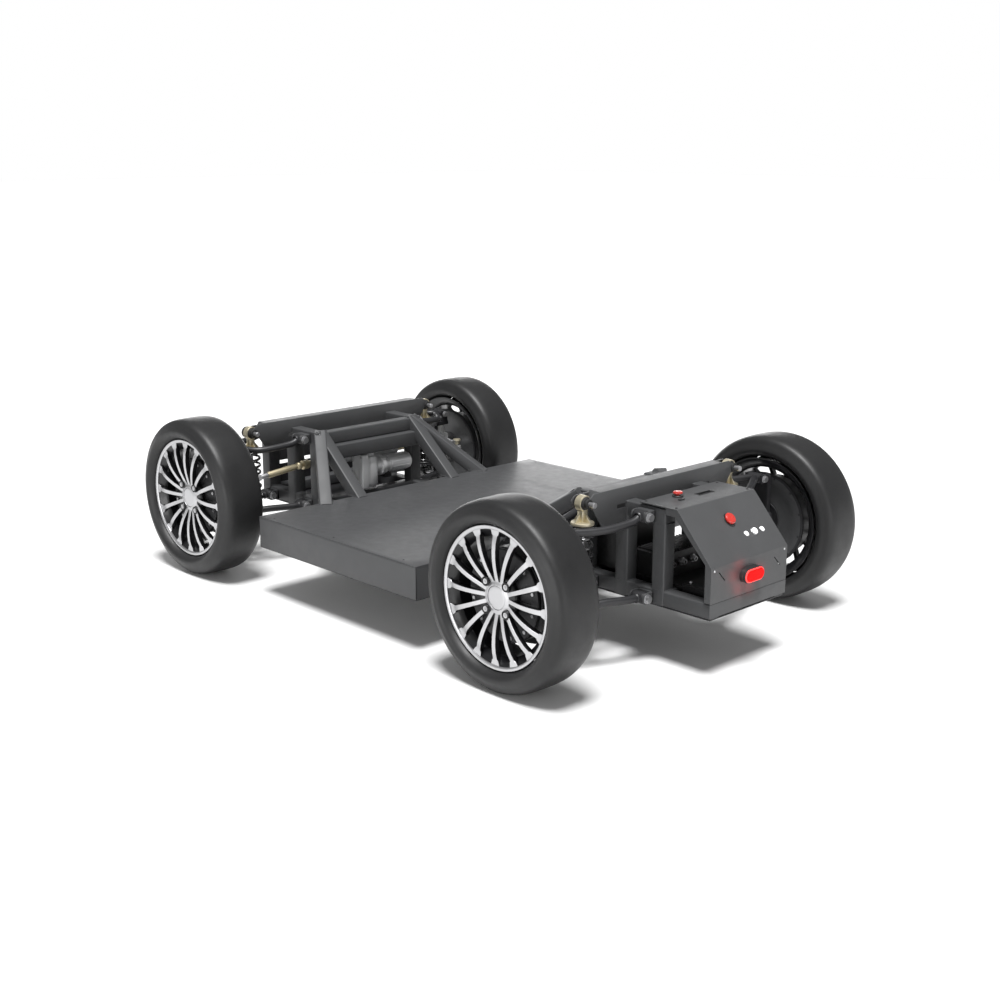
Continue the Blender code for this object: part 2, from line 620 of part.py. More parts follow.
# ---------------------------------------------------------------- steering
def steering():
    gear_x = 0.545
    gear = rod((gear_x, -0.004, 0.205), (gear_x, -0.004, 0.312), 0.028, 12)
    neck = rod((gear_x, -0.004, 0.300), (gear_x, -0.004, 0.3255), 0.016, 8)
    plate = box((gear_x - 0.028, 0.018, 0.206), (gear_x + 0.028, 0.046, 0.322))
    motor = rod((gear_x, -0.020, 0.272), (gear_x, -0.168, 0.272), 0.029, 16)
    flange = rod((gear_x, -0.040, 0.272), (gear_x, -0.054, 0.272), 0.034, 12)
    plug = box((gear_x - 0.016, -0.088, 0.228), (gear_x + 0.016, -0.058, 0.256))
    housing = rod((RACK_X, -0.160, RACK_Z), (RACK_X, 0.160, RACK_Z), 0.019, 12)
    bridge = box((gear_x, -0.024, RACK_Z - 0.016), (RACK_X, 0.030, RACK_Z + 0.012))
    unit = union(gear, neck, plate, motor, flange, plug, housing, bridge)
    bore = rod((RACK_X, -0.2, RACK_Z), (RACK_X, 0.2, RACK_Z), RACK_R + RUN, 10)
    publish(cut(unit, bore), "steering_unit", "cast_grey")

    pivot = PIVOT_Y["front"]
    pieces = [rod((RACK_X, -0.222, RACK_Z), (RACK_X, 0.222, RACK_Z), RACK_R, 10)]
    for _, side in SIDES:
        pieces.append(rod((RACK_X, side * 0.2050, RACK_Z), (RACK_X, side * 0.2262, RACK_Z), 0.015, 10))
    publish(union(*pieces), "steering_rack", "steel")

    for name, side in SIDES:
        outer_z = RACK_Z - ARM_DROP
        ball = (RACK_X, side * pivot, RACK_Z)
        end = (RACK_X, side * OUTER_Y, outer_z)
        bar = rod(ball, (RACK_X, side * (OUTER_Y - 0.008), outer_z + 0.0008), 0.0088, 8)
        joint = sphere(ball, 0.0128)
        housing = rod((end[0], end[1], outer_z - 0.0095), (end[0], end[1], outer_z + 0.0095), 0.0100, 10, 0.0140)
        publish(union(bar, joint, housing), f"{name}_tie_rod", "zinc_gold", ball)


# ---------------------------------------------------------------- rear console
def console_frame():
    """Slope of the console: its middle, its direction down the panel and its outward normal."""
    top, foot = Vector((-0.893, 0, 0.425)), Vector((-1.007, 0, 0.295))
    down = (foot - top).normalized()
    normal = Vector((-0.130, 0, 0.114)).normalized()
    return top, down, normal


def on_slope(along, across, proud=0.0):
    top, down, normal = console_frame()
    return top + down * along + Vector((0, across, 0)) + normal * proud


def console():
    outline = list(CONSOLE_PROFILE)
    inner = [(-1.007 + SHEET, 0.164), (-1.007 + SHEET, 0.2939),
             (-0.8916, 0.425 - SHEET), (-0.770, 0.425 - SHEET)]
    skin = prism(outline + inner, 1, -CONSOLE_HALF, CONSOLE_HALF)
    pieces = [skin]
    band = 0.020
    for _, side in SIDES:
        flange = [(-0.855, 0.4245), (-0.8932, 0.4245), (-1.0065, 0.2952), (-1.0065, 0.205),
                  (-1.0065 + band, 0.205), (-1.0065 + band, 0.300), (-0.893 + 0.008, 0.4245 - band),
                  (-0.855, 0.4245 - band)]
        low, high = sorted((side * (CONSOLE_HALF - 0.0005), side * (CONSOLE_HALF - SHEET)))
        pieces.append(prism(flange, 1, low, high))
    shell = union(*pieces)
    holes = [rod((-0.805, 0.050, 0.40), (-0.805, 0.050, 0.44), 0.0100, 16)]
    for along, across, radius in SLOPE_CONTROLS.values():
        holes.append(rod(on_slope(along, across, -0.02), on_slope(along, across, 0.02), radius - 0.0030, 12))
    publish(cut(shell, *holes), "console_shell", "cover_paint")


def console_controls():
    base = turned([(0.0065, 0.0), (0.0150, 0.0), (0.0150, 0.0034), (0.0136, 0.0042), (0.0065, 0.0042)],
                  (-0.805, 0.050, CONSOLE_TOP_Z + FIT), (0, 0, 1), 16)
    publish(base, "estop_base", "cast_grey")
    x, y, z = -0.805, 0.050, CONSOLE_TOP_Z
    cap = union(rod((x, y, z + 0.0082), (x, y, z + 0.0145), 0.0130, 16, 0.0115),
                rod((x, y, z - 0.006), (x, y, z + 0.009), 0.0058, 8))
    publish(cap, "estop_cap", "red_plastic", (-0.805, 0.050, CONSOLE_TOP_Z))
    for name, (along, across, radius) in SLOPE_CONTROLS.items():
        proud = 0.013 if name == "stop_knob" else 0.006
        finish = "red_plastic" if name == "stop_knob" else "white_button"
        gap = 0.0045 if name == "stop_knob" else 0.0030
        head = rod(on_slope(along, across, gap), on_slope(along, across, proud), radius, 12, radius * 0.88)
        stem = rod(on_slope(along, across, -0.010), on_slope(along, across, gap + 0.001), radius - 0.0045, 8)
        publish(union(head, stem), name, finish, on_slope(along, across))
    lamp = stadium_lamp()
    publish(lamp, "tail_lamp", "red_lens")


def stadium_lamp():
    """A lamp with round ends on the console's rear plate."""
    straight, radius, centre_y, centre_z = 0.021, 0.019, 0.004, 0.252
    back = CONSOLE_PROFILE[2][0] - FIT
    rings = []
    for x, grow in ((back, 0.0), (back - 0.016, 0.0), (LAMP_TIP_X, -0.004)):
        ring = []
        for centre, start in ((straight, -pi / 2), (-straight, pi / 2)):
            for i in range(7):
                angle = start + pi * i / 6
                ring.append(Vector((x, centre_y + centre + (radius + grow) * cos(angle),
                                    centre_z + (radius + grow) * sin(angle))))
        rings.append(ring)
    return loft(rings)


def controllers():
    """Three cases on one plate, over the cross tubes of the rear frame."""
    plate = box((-0.990, -0.100, RAIL_Z[1] + FIT), (-0.402, 0.100, 0.2065))
    motor = box((-0.660, -0.105, 0.2060), (-0.400, 0.105, 0.3240))
    drive = box((-0.800, -0.098, RAIL_Z[0]), (-0.700, 0.098, 0.2720))
    power = box((-0.988, -0.098, RAIL_Z[0]), (-0.868, 0.098, 0.2140))
    publish(union(plate, motor, drive, power), "motor_controller", "pack_grey")


clear_scene()
CHASSIS = bpy.data.objects.new("chassis_origin", None)
CHASSIS.location = (MID_X, 0, 0)
bpy.context.scene.collection.objects.link(CHASSIS)

deck()
for end_name, axle_x in ENDS:
    frame(end_name, axle_x)
    beam(end_name, axle_x)
    for side_name, side_sign in SIDES:
        corner(end_name, axle_x, side_name, side_sign)
steering()
console()
console_controls()
controllers()
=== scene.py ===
"""Looks of the four wheel robot chassis: detailed wheels, suspension, frames, deck, steering and console.

Metres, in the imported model's frame: +X forward, +Y left, +Z up.  Shapes are written about the middle
of the wheelbase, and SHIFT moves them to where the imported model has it.
"""
from math import cos, pi, radians, sin, tan, tau

import bmesh
import bpy
from mathutils import Matrix, Vector


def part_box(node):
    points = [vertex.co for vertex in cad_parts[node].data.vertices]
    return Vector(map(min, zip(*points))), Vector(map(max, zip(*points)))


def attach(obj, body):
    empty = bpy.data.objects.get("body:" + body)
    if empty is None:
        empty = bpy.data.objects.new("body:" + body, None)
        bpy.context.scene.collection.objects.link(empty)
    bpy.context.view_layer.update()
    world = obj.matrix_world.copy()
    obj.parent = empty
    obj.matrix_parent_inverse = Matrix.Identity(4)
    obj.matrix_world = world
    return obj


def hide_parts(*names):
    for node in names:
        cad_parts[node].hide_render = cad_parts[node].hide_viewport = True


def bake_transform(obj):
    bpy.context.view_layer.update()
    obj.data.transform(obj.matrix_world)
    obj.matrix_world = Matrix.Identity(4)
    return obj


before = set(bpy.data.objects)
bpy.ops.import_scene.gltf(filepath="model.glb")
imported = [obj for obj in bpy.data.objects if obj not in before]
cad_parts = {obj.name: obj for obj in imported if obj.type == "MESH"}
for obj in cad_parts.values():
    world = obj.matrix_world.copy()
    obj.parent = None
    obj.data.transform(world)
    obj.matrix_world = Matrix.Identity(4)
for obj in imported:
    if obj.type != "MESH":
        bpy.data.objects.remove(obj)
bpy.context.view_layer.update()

# ---------------------------------------------------------------- places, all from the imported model
tyre_low, tyre_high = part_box("front_left_tyre")
rear_low, rear_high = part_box("rear_left_tyre")
AXLE_X = ((tyre_low[0] + tyre_high[0]) - (rear_low[0] + rear_high[0])) / 4
SHIFT = ((tyre_low[0] + tyre_high[0]) + (rear_low[0] + rear_high[0])) / 4
WHEEL_Z = (tyre_low[2] + tyre_high[2]) / 2
ENDS = (("front", AXLE_X), ("rear", -AXLE_X))
SIDES = (("left", 1), ("right", -1))
PIVOT_Y = {"front": 0.240, "rear": 0.180}
LOWER_Z, UPPER_Z = 0.178, 0.395
OUTER_Y, ARM_DROP = 0.445, 0.020
LEG_X = (-0.103, 0.087)
SPRING_X = -0.008
EYE_Y = {"front": 0.364, "rear": 0.2995}
EYE_Z = {"front": 0.418, "rear": 0.4325}
SEAT_Z = {"front": 0.362, "rear": 0.3765}
ARM_WAIST = {"lower_arm": 0.060, "upper_arm": 0.066}
POST_X = (-0.141, -0.0155, 0.125)
POST_Y = {"front": 0.217, "rear": 0.157}
TUBE = 0.042
BEAM_HALF = {"front": 0.340, "rear": 0.275}
BEAM_Z = {"front": (0.352, 0.446), "rear": (0.360, 0.455)}
DECK_X, DECK_Y, DECK_BOTTOM, DECK_TOP = 0.356, 0.564, 0.149, 0.243
LEG_FOOT_X, LEG_FOOT_Y = 0.358, (0.318, 0.193)
LEG_APEX_Y, LEG_APEX_Z = {"front": 0.190, "rear": 0.166}, 0.408
PAN_TOP, PANEL_TOP, NOSE_TOP = 0.1597, 0.345, 0.408
RACK_X, RACK_Z = AXLE_X - 0.092, 0.305


# ---------------------------------------------------------------- materials
def material(name, colour, roughness, metallic=0.0, grain=1200.0, bump=0.12, mottle=0.10, coat=0.0,
             emission=None, glow=0.0, second=None, rough_spread=0.10, specular=0.5):
    """A procedural finish: fine grain in the bump, slow mottle in the colour, and uneven roughness."""
    made = bpy.data.materials.new(name)
    made.use_nodes = True
    tree = made.node_tree
    link = tree.links.new
    shader = tree.nodes["Principled BSDF"]
    shader.inputs["Metallic"].default_value = metallic
    shader.inputs["Coat Weight"].default_value = coat
    shader.inputs["Specular IOR Level"].default_value = specular
    if emission:
        shader.inputs["Emission Color"].default_value = (*emission, 1.0)
        shader.inputs["Emission Strength"].default_value = glow
    place = tree.nodes.new("ShaderNodeTexCoord")

    def noise(scale, detail):
        node = tree.nodes.new("ShaderNodeTexNoise")
        node.inputs["Scale"].default_value = scale
        node.inputs["Detail"].default_value = detail
        link(place.outputs["Object"], node.inputs["Vector"])
        return node

    slow = noise(9.0, 4.0)
    ramp = tree.nodes.new("ShaderNodeValToRGB")
    other = second or tuple(min(1.0, c * (1 + mottle)) for c in colour)
    ramp.color_ramp.elements[0].position = 0.30
    ramp.color_ramp.elements[0].color = (*[c * (1 - mottle) for c in colour], 1.0)
    ramp.color_ramp.elements[1].position = 0.70
    ramp.color_ramp.elements[1].color = (*other, 1.0)
    link(slow.outputs["Fac"], ramp.inputs["Fac"])
    link(ramp.outputs["Color"], shader.inputs["Base Color"])
    patch = noise(38.0, 5.0)
    spread = tree.nodes.new("ShaderNodeMapRange")
    spread.inputs["To Min"].default_value = max(0.03, roughness - rough_spread)
    spread.inputs["To Max"].default_value = min(1.0, roughness + rough_spread)
    link(patch.outputs["Fac"], spread.inputs["Value"])
    link(spread.outputs["Result"], shader.inputs["Roughness"])
    fine = noise(grain, 2.0)
    relief = tree.nodes.new("ShaderNodeBump")
    relief.inputs["Strength"].default_value = bump
    relief.inputs["Distance"].default_value = 0.0006
    link(fine.outputs["Fac"], relief.inputs["Height"])
    link(relief.outputs["Normal"], shader.inputs["Normal"])
    return made


def turned_metal(name, colour, roughness):
    """Machined metal with fine circular tool marks about the piece's own Y axis."""
    made = material(name, colour, roughness, 1.0, grain=900.0, bump=0.04, mottle=0.05, rough_spread=0.06)
    tree = made.node_tree
    link = tree.links.new
    place = tree.nodes.new("ShaderNodeTexCoord")
    flat = tree.nodes.new("ShaderNodeVectorMath")
    flat.operation = "MULTIPLY"
    flat.inputs[1].default_value = (1.0, 0.0, 1.0)
    length = tree.nodes.new("ShaderNodeVectorMath")
    length.operation = "LENGTH"
    lines = tree.nodes.new("ShaderNodeTexNoise")
    lines.noise_dimensions = "1D"
    lines.inputs["Scale"].default_value = 1500.0
    lines.inputs["Detail"].default_value = 1.0
    relief = tree.nodes.new("ShaderNodeBump")
    relief.inputs["Strength"].default_value = 0.10
    relief.inputs["Distance"].default_value = 0.0003
    link(place.outputs["Object"], flat.inputs[0])
    link(flat.outputs["Vector"], length.inputs[0])
    link(length.outputs["Value"], lines.inputs["W"])
    link(lines.outputs["Fac"], relief.inputs["Height"])
    first = next(n for n in tree.nodes if n.type == "BUMP" and n != relief)
    link(relief.outputs["Normal"], first.inputs["Normal"])
    return made


PAINT = material("powder_coat_dark", (0.050, 0.051, 0.053), 0.50, 0.0, grain=1500, bump=0.16)
DECK_PAINT = material("powder_coat_deck", (0.050, 0.051, 0.053), 0.46, 0.0, grain=1300, bump=0.14, mottle=0.06)
PANEL = material("powder_coat_panel", (0.060, 0.061, 0.063), 0.48, 0.0, grain=1600, bump=0.16, mottle=0.07)
ARM_BLACK = material("satin_black", (0.022, 0.022, 0.024), 0.42, 0.1, grain=1000, bump=0.10)
WHEEL_BLACK = material("gloss_black_barrel", (0.006, 0.006, 0.007), 0.34, 0.0, grain=700, bump=0.03, coat=0.15)
RUBBER = material("tyre_rubber", (0.013, 0.013, 0.0135), 0.46, 0.0, grain=2200, bump=0.20, mottle=0.10,
                  specular=0.42)
SILVER = turned_metal("machined_silver", (0.56, 0.56, 0.57), 0.40)
MOTOR = material("motor_housing", (0.022, 0.022, 0.024), 0.46, 0.2, grain=800, bump=0.18)
CAST = material("cast_grey", (0.60, 0.605, 0.61), 0.48, 0.35, grain=420, bump=0.30, mottle=0.14)
STEEL = material("bright_zinc", (0.46, 0.46, 0.47), 0.40, 0.9, grain=900, bump=0.05, mottle=0.12)
GOLD = material("yellow_zinc", (0.72, 0.65, 0.47), 0.42, 0.85, grain=700, bump=0.05, mottle=0.16,
                second=(0.78, 0.71, 0.54))
OLIVE = material("olive_zinc", (0.56, 0.49, 0.33), 0.40, 0.7, grain=700, bump=0.08, mottle=0.18)
SPRING_BLACK = material("spring_enamel", (0.012, 0.012, 0.013), 0.20, 0.0, grain=600, bump=0.05, coat=0.8)
BUSH_RUBBER = material("bush_rubber", (0.018, 0.018, 0.018), 0.70, 0.0, grain=1800, bump=0.20)
RED = material("red_plastic", (0.50, 0.030, 0.022), 0.28, 0.0, grain=900, bump=0.06, mottle=0.08, coat=0.5)
RED_LENS = material("red_lens", (0.45, 0.002, 0.002), 0.60, 0.0, grain=500, bump=0.05,
                    emission=(1.0, 0.0, 0.0), glow=0.80, specular=0.12)
RED_GLOW = material("red_light_strip", (0.60, 0.030, 0.030), 0.40, 0.0, grain=500, bump=0.05,
                    emission=(1.0, 0.07, 0.06), glow=1.2)
WHITE_LIGHT = material("white_indicator", (0.85, 0.85, 0.85), 0.25, 0.0, grain=600, bump=0.04,
                       emission=(1.0, 1.0, 1.0), glow=0.9)
DARK_PLASTIC = material("dark_plastic", (0.020, 0.020, 0.021), 0.45, 0.0, grain=900, bump=0.12)
PACK = material("pack_case", (0.090, 0.092, 0.095), 0.55, 0.0, grain=800, bump=0.25)
FLOOR = material("pale_floor", (0.72, 0.72, 0.72), 0.85, 0.0, grain=60, bump=0.01, mottle=0.01)


# ---------------------------------------------------------------- shapes: each is (points, faces)
def mm(*points):
    """Points of a profile or an outline, written in millimetres."""
    return [tuple(value / 1000 for value in point) for point in points]


def axis_frame(direction):
    direction = Vector(direction).normalized()
    helper = Vector((0, 0, 1)) if abs(direction.z) < 0.9 else Vector((1, 0, 0))
    first = helper.cross(direction).normalized()
    return first, direction.cross(first).normalized()


def loft(rings, caps=True):
    size = len(rings[0])
    faces = []
    if caps:
        faces = [tuple(reversed(range(size))), tuple(range((len(rings) - 1) * size, len(rings) * size))]
    for ring in range(len(rings) - 1):
        for i in range(size):
            j = (i + 1) % size
            start = ring * size
            faces.append((start + i, start + j, start + size + j, start + size + i))
    return [p for ring in rings for p in ring], faces


def stations(path, radii, sides):
    """Rings along a path, turned as little as possible from one to the next."""
    path = [Vector(p) for p in path]
    u = None
    rings = []
    for i, point in enumerate(path):
        tangent = (path[min(i + 1, len(path) - 1)] - path[max(i - 1, 0)]).normalized()
        if u is None:
            u = axis_frame(tangent)[0]
        u = (u - tangent * u.dot(tangent)).normalized()
        v = tangent.cross(u)
        rings.append([point + radii[i] * (cos(tau * k / sides) * u + sin(tau * k / sides) * v)
                      for k in range(sides)])
    return rings


def sweep(path, radius, sides=12):
    return loft(stations(path, [radius] * len(path), sides))


def smooth_path(points, steps=6):
    points = [Vector(p) for p in points]
    ends = [points[0] * 2 - points[1]] + points + [points[-1] * 2 - points[-2]]
    result = []
    for i in range(1, len(ends) - 2):
        a, b, c, d = ends[i - 1:i + 3]
        for step in range(steps):
            t = step / steps
            result.append(0.5 * (2 * b + (c - a) * t + (2 * a - 5 * b + 4 * c - d) * t * t
                                 + (3 * b - a - 3 * c + d) * t ** 3))
    return result + [points[-1]]


def rod(start, end, radius, sides=24, end_radius=None, chamfer=0.0008):
    """A round bar or cone with small chamfers at its ends."""
    start, end = Vector(start), Vector(end)
    other = end_radius or radius
    step = (end - start).normalized() * chamfer
    path = [start, start + step, end - step, end]
    u, v = axis_frame(end - start)
    rings = []
    for point, r in zip(path, (radius - chamfer, radius, other, other - chamfer)):
        rings.append([point + r * (cos(tau * k / sides) * u + sin(tau * k / sides) * v) for k in range(sides)])
    return loft(rings)


def lathe(profile, centre, axis, segments=64):
    """A solid or ring turned about an axis from (radius, along) points; a radius of 0 closes an end."""
    axis = Vector(axis).normalized()
    u, v = axis_frame(axis)
    centre = Vector(centre)
    rings = []
    for i in range(segments):
        spoke = cos(tau * i / segments) * u + sin(tau * i / segments) * v
        rings.append([centre + a * axis + r * spoke for r, a in profile])
    size = len(profile)
    faces = []
    for i in range(segments):
        j = (i + 1) % segments
        for k in range(size):
            m = (k + 1) % size
            faces.append((i * size + k, i * size + m, j * size + m, j * size + k))
    return [p for ring in rings for p in ring], faces


def mirrored(half):
    """A profile that is the same on both sides of 0, from its points on the negative side."""
    return half + [(r, -a) for r, a in reversed(half)]


def bevelled(points, faces, width, segments=2):
    work = bmesh.new()
    verts = [work.verts.new(p) for p in points]
    for face in faces:
        work.faces.new([verts[i] for i in face])
    bmesh.ops.recalc_face_normals(work, faces=work.faces)
    edges = [e for e in work.edges if e.is_manifold and e.calc_face_angle() > radians(20)]
    bmesh.ops.bevel(work, geom=edges, offset=width, segments=segments, affect="EDGES", profile=0.5,
                    clamp_overlap=True)
    work.verts.index_update()
    result = [v.co.copy() for v in work.verts], [tuple(v.index for v in f.verts) for f in work.faces]
    work.free()
    return result


BOX_FACES = ((0, 1, 3, 2), (4, 6, 7, 5), (0, 4, 5, 1), (2, 3, 7, 6), (0, 2, 6, 4), (1, 5, 7, 3))


def block(low, high, bevel=0.0012, segments=2):
    low, high = zip(*[sorted(pair) for pair in zip(low, high)])
    points = [(x, y, z) for x in (low[0], high[0]) for y in (low[1], high[1]) for z in (low[2], high[2])]
    return bevelled(points, BOX_FACES, bevel, segments)


def plate(outline, axis, low, high, bevel=0.0008, segments=2):
    """An outline extruded along one axis, with its edges eased."""
    def at(level):
        return [list(p[:axis]) + [level] + list(p[axis:]) for p in outline]
    points, faces = loft([at(low), at(high)])
    return bevelled(points, faces, bevel, segments) if bevel else (points, faces)


def rounded_section(width, height, radius):
    """The outline of a square tube, with four points round each corner."""
    section = []
    for a, b, turn in ((1, 1, 0), (-1, 1, 1), (-1, -1, 2), (1, -1, 3)):
        for k in range(4):
            angle = pi / 2 * (turn + k / 3)
            section.append((a * (width / 2 - radius) + radius * cos(angle),
                            b * (height / 2 - radius) + radius * sin(angle)))
    return section


def square_tube(start, end, width, height=None):
    """A square tube with rounded corners between two points."""
    start, end = Vector(start), Vector(end)
    u, v = axis_frame(end - start)
    height = height or width
    section = rounded_section(width, height, 0.0045)
    ease = 0.0006
    direction = (end - start).normalized()
    rings = []
    near, far = start + direction * ease, end - direction * ease
    for point, shrink in ((start, ease), (near, 0), (far, 0), (end, ease)):
        wide, tall = 1 - 2 * shrink / width, 1 - 2 * shrink / height
        rings.append([point + a * wide * u + b * tall * v for a, b in section])
    return loft(rings)


def hexagon(start, end, across, chamfer=0.0012):
    """A bolt head or nut: six flats, with the outer end chamfered round."""
    start, end = Vector(start), Vector(end)
    u, v = axis_frame(end - start)
    r = across / 2 / cos(pi / 6)
    step = (end - start).normalized() * chamfer
    rings = []
    for point, radius, sharp in ((start, r, 1), (end - step, r, 1), (end, r * 0.88, 0)):
        ring = []
        for k in range(24):
            angle = tau * k / 24
            fold = (angle % (pi / 3)) - pi / 6
            reach = radius * cos(pi / 6) / cos(fold) if sharp else radius
            ring.append(point + reach * (cos(angle) * u + sin(angle) * v))
        rings.append(ring)
    return loft(rings)


def weld(start, end, radius=0.0022):
    """A bead of weld with its ripples."""
    start, end = Vector(start), Vector(end)
    count = max(6, int((end - start).length / 0.0022))
    path = [start.lerp(end, i / count) for i in range(count + 1)]
    radii = [radius * (0.82 + 0.18 * (i % 2)) if 0 < i < count else radius * 0.4 for i in range(count + 1)]
    return loft(stations(path, radii, 8))


class Piece:
    """One visible piece, gathered from closed shapes that each have a material."""

    def __init__(self):
        self.work = bmesh.new()
        self.materials = []

    def add(self, shape, finish, other=None, chosen=()):
        points, faces = shape
        for m in (finish, other):
            if m and m not in self.materials:
                self.materials.append(m)
        verts = [self.work.verts.new(p) for p in points]
        first, second = self.materials.index(finish), self.materials.index(other) if other else 0
        for number, face in enumerate(faces):
            made = self.work.faces.new([verts[i] for i in face])
            made.smooth = True
            made.material_index = second if number in chosen else first
        return self

    def finish(self, name, body, slot, replaces=(), origin=(0, 0, 0), sharp=32, tools=()):
        bmesh.ops.recalc_face_normals(self.work, faces=self.work.faces)
        mesh = bpy.data.meshes.new(name)
        self.work.to_mesh(mesh)
        self.work.free()
        for m in self.materials:
            mesh.materials.append(m)
        piece = bpy.data.objects.new(name, mesh)
        bpy.context.scene.collection.objects.link(piece)
        if tools:
            carve(piece, tools)
            mesh = piece.data
        mesh.transform(Matrix.Translation(-Vector(origin)))
        piece.location = Vector(origin) + Vector((SHIFT, 0, 0))
        mesh.shade_smooth()
        mesh.set_sharp_from_angle(angle=radians(sharp))
        if body:
            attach(piece, body)
        if replaces:
            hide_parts(*replaces)
        return piece


def carve(piece, tools):
    """Cuts slots and holes out of a piece."""
    cutters = []
    for number, (points, faces) in enumerate(tools):
        mesh = bpy.data.meshes.new("cutter")
        mesh.from_pydata([tuple(p) for p in points], [], faces)
        work = bmesh.new()
        work.from_mesh(mesh)
        bmesh.ops.recalc_face_normals(work, faces=work.faces)
        work.to_mesh(mesh)
        work.free()
        cutter = bpy.data.objects.new(f"cutter_{number}", mesh)
        bpy.context.scene.collection.objects.link(cutter)
        modifier = piece.modifiers.new("cut", "BOOLEAN")
        modifier.operation = "DIFFERENCE"
        modifier.solver = "EXACT"
        modifier.object = cutter
        cutters.append(cutter)
    graph = bpy.context.evaluated_depsgraph_get()
    piece.data = bpy.data.meshes.new_from_object(piece.evaluated_get(graph))
    piece.modifiers.clear()
    for cutter in cutters:
        bpy.data.objects.remove(cutter, do_unlink=True)


# ---------------------------------------------------------------- wheels
# radius and distance from the chassis' middle, from the outer bead to the middle of the tread
TYRE_HALF = mm((184.3, 598.5), (185.3, 599.2), (186.4, 605.2), (190, 610.5), (194.5, 616.5), (200, 620.3),
               (206.5, 621.7), (213, 620), (219, 616.5), (224.5, 613.8), (230, 611.8), (235.5, 608.2),
               (240, 602.2), (242.8, 593), (244.3, 581.5), (244.9, 566), (245, 545))
TYRE_MIDDLE = 0.545


def wheel_ring(axle, side, profile, segments=96):
    """A ring turned about a wheel's axle from (radius, distance from the chassis' middle) points."""
    return lathe([(r, side * y) for r, y in profile], (axle, 0, WHEEL_Z), (0, 1, 0), segments)


def wheel_point(axle, side, radius, angle, y):
    """A point at an angle round a wheel's axle."""
    return Vector((axle + radius * cos(angle), side * y, WHEEL_Z + radius * sin(angle)))


def tyre(axle, side, label):
    """A smooth road tyre with bead grooves, hollow towards the rim."""
    inner = [(r, 2 * TYRE_MIDDLE - y) for r, y in reversed(TYRE_HALF[:-1])]
    cavity = mm((184.3, 493), (225, 489), (233, 510), (233, 580), (225, 601), (184.3, 597))
    piece = Piece().add(wheel_ring(axle, side, (*TYRE_HALF, *inner, *cavity), 128), RUBBER)
    return piece.finish(f"{label}_tyre_rubber", f"{label}_wheel", "rubber", [f"{label}_tyre"],
                        (axle, side * TYRE_MIDDLE, WHEEL_Z))


# radius, height of the face against the ring's face, half width and depth
SPOKE = mm((34, -12.2, 5.6, 10), (45, -10.4, 5.5, 12), (60, -6.5, 5.4, 14), (80, -2, 5.5, 15),
           (100, 0.5, 5.7, 15), (120, 1, 6, 15), (140, -0.5, 6.3, 15), (152, -3.4, 6.6, 15),
           (157, -4.4, 7.2, 15), (160, -4.8, 10.6, 14), (166, -5, 12.6, 12), (174.5, -4.4, 15.2, 10))
RING_FACE, LUG_RADIUS = 0.6036, 0.050


def spoke(axle, side, angle, first):
    """One spoke with a bright face and black flanks, flared where it meets the ring."""
    across = Vector((-sin(angle), 0, cos(angle)))
    rings = []
    for radius, rise, half, depth in SPOKE:
        if radius < first:
            continue
        face = RING_FACE + rise
        back = half * 0.86
        section = ((-half + 0.0005, face), (half - 0.0005, face), (half, face - 0.0006), (back, face - depth),
                   (-back, face - depth), (-half, face - 0.0006))
        rings.append([wheel_point(axle, side, radius, angle, y) + a * across for a, y in section])
    points, faces = loft(rings)
    bright = [n for n in range(2, len(faces)) if (n - 2) % 6 in (0, 1, 5)]
    return (points, faces), bright


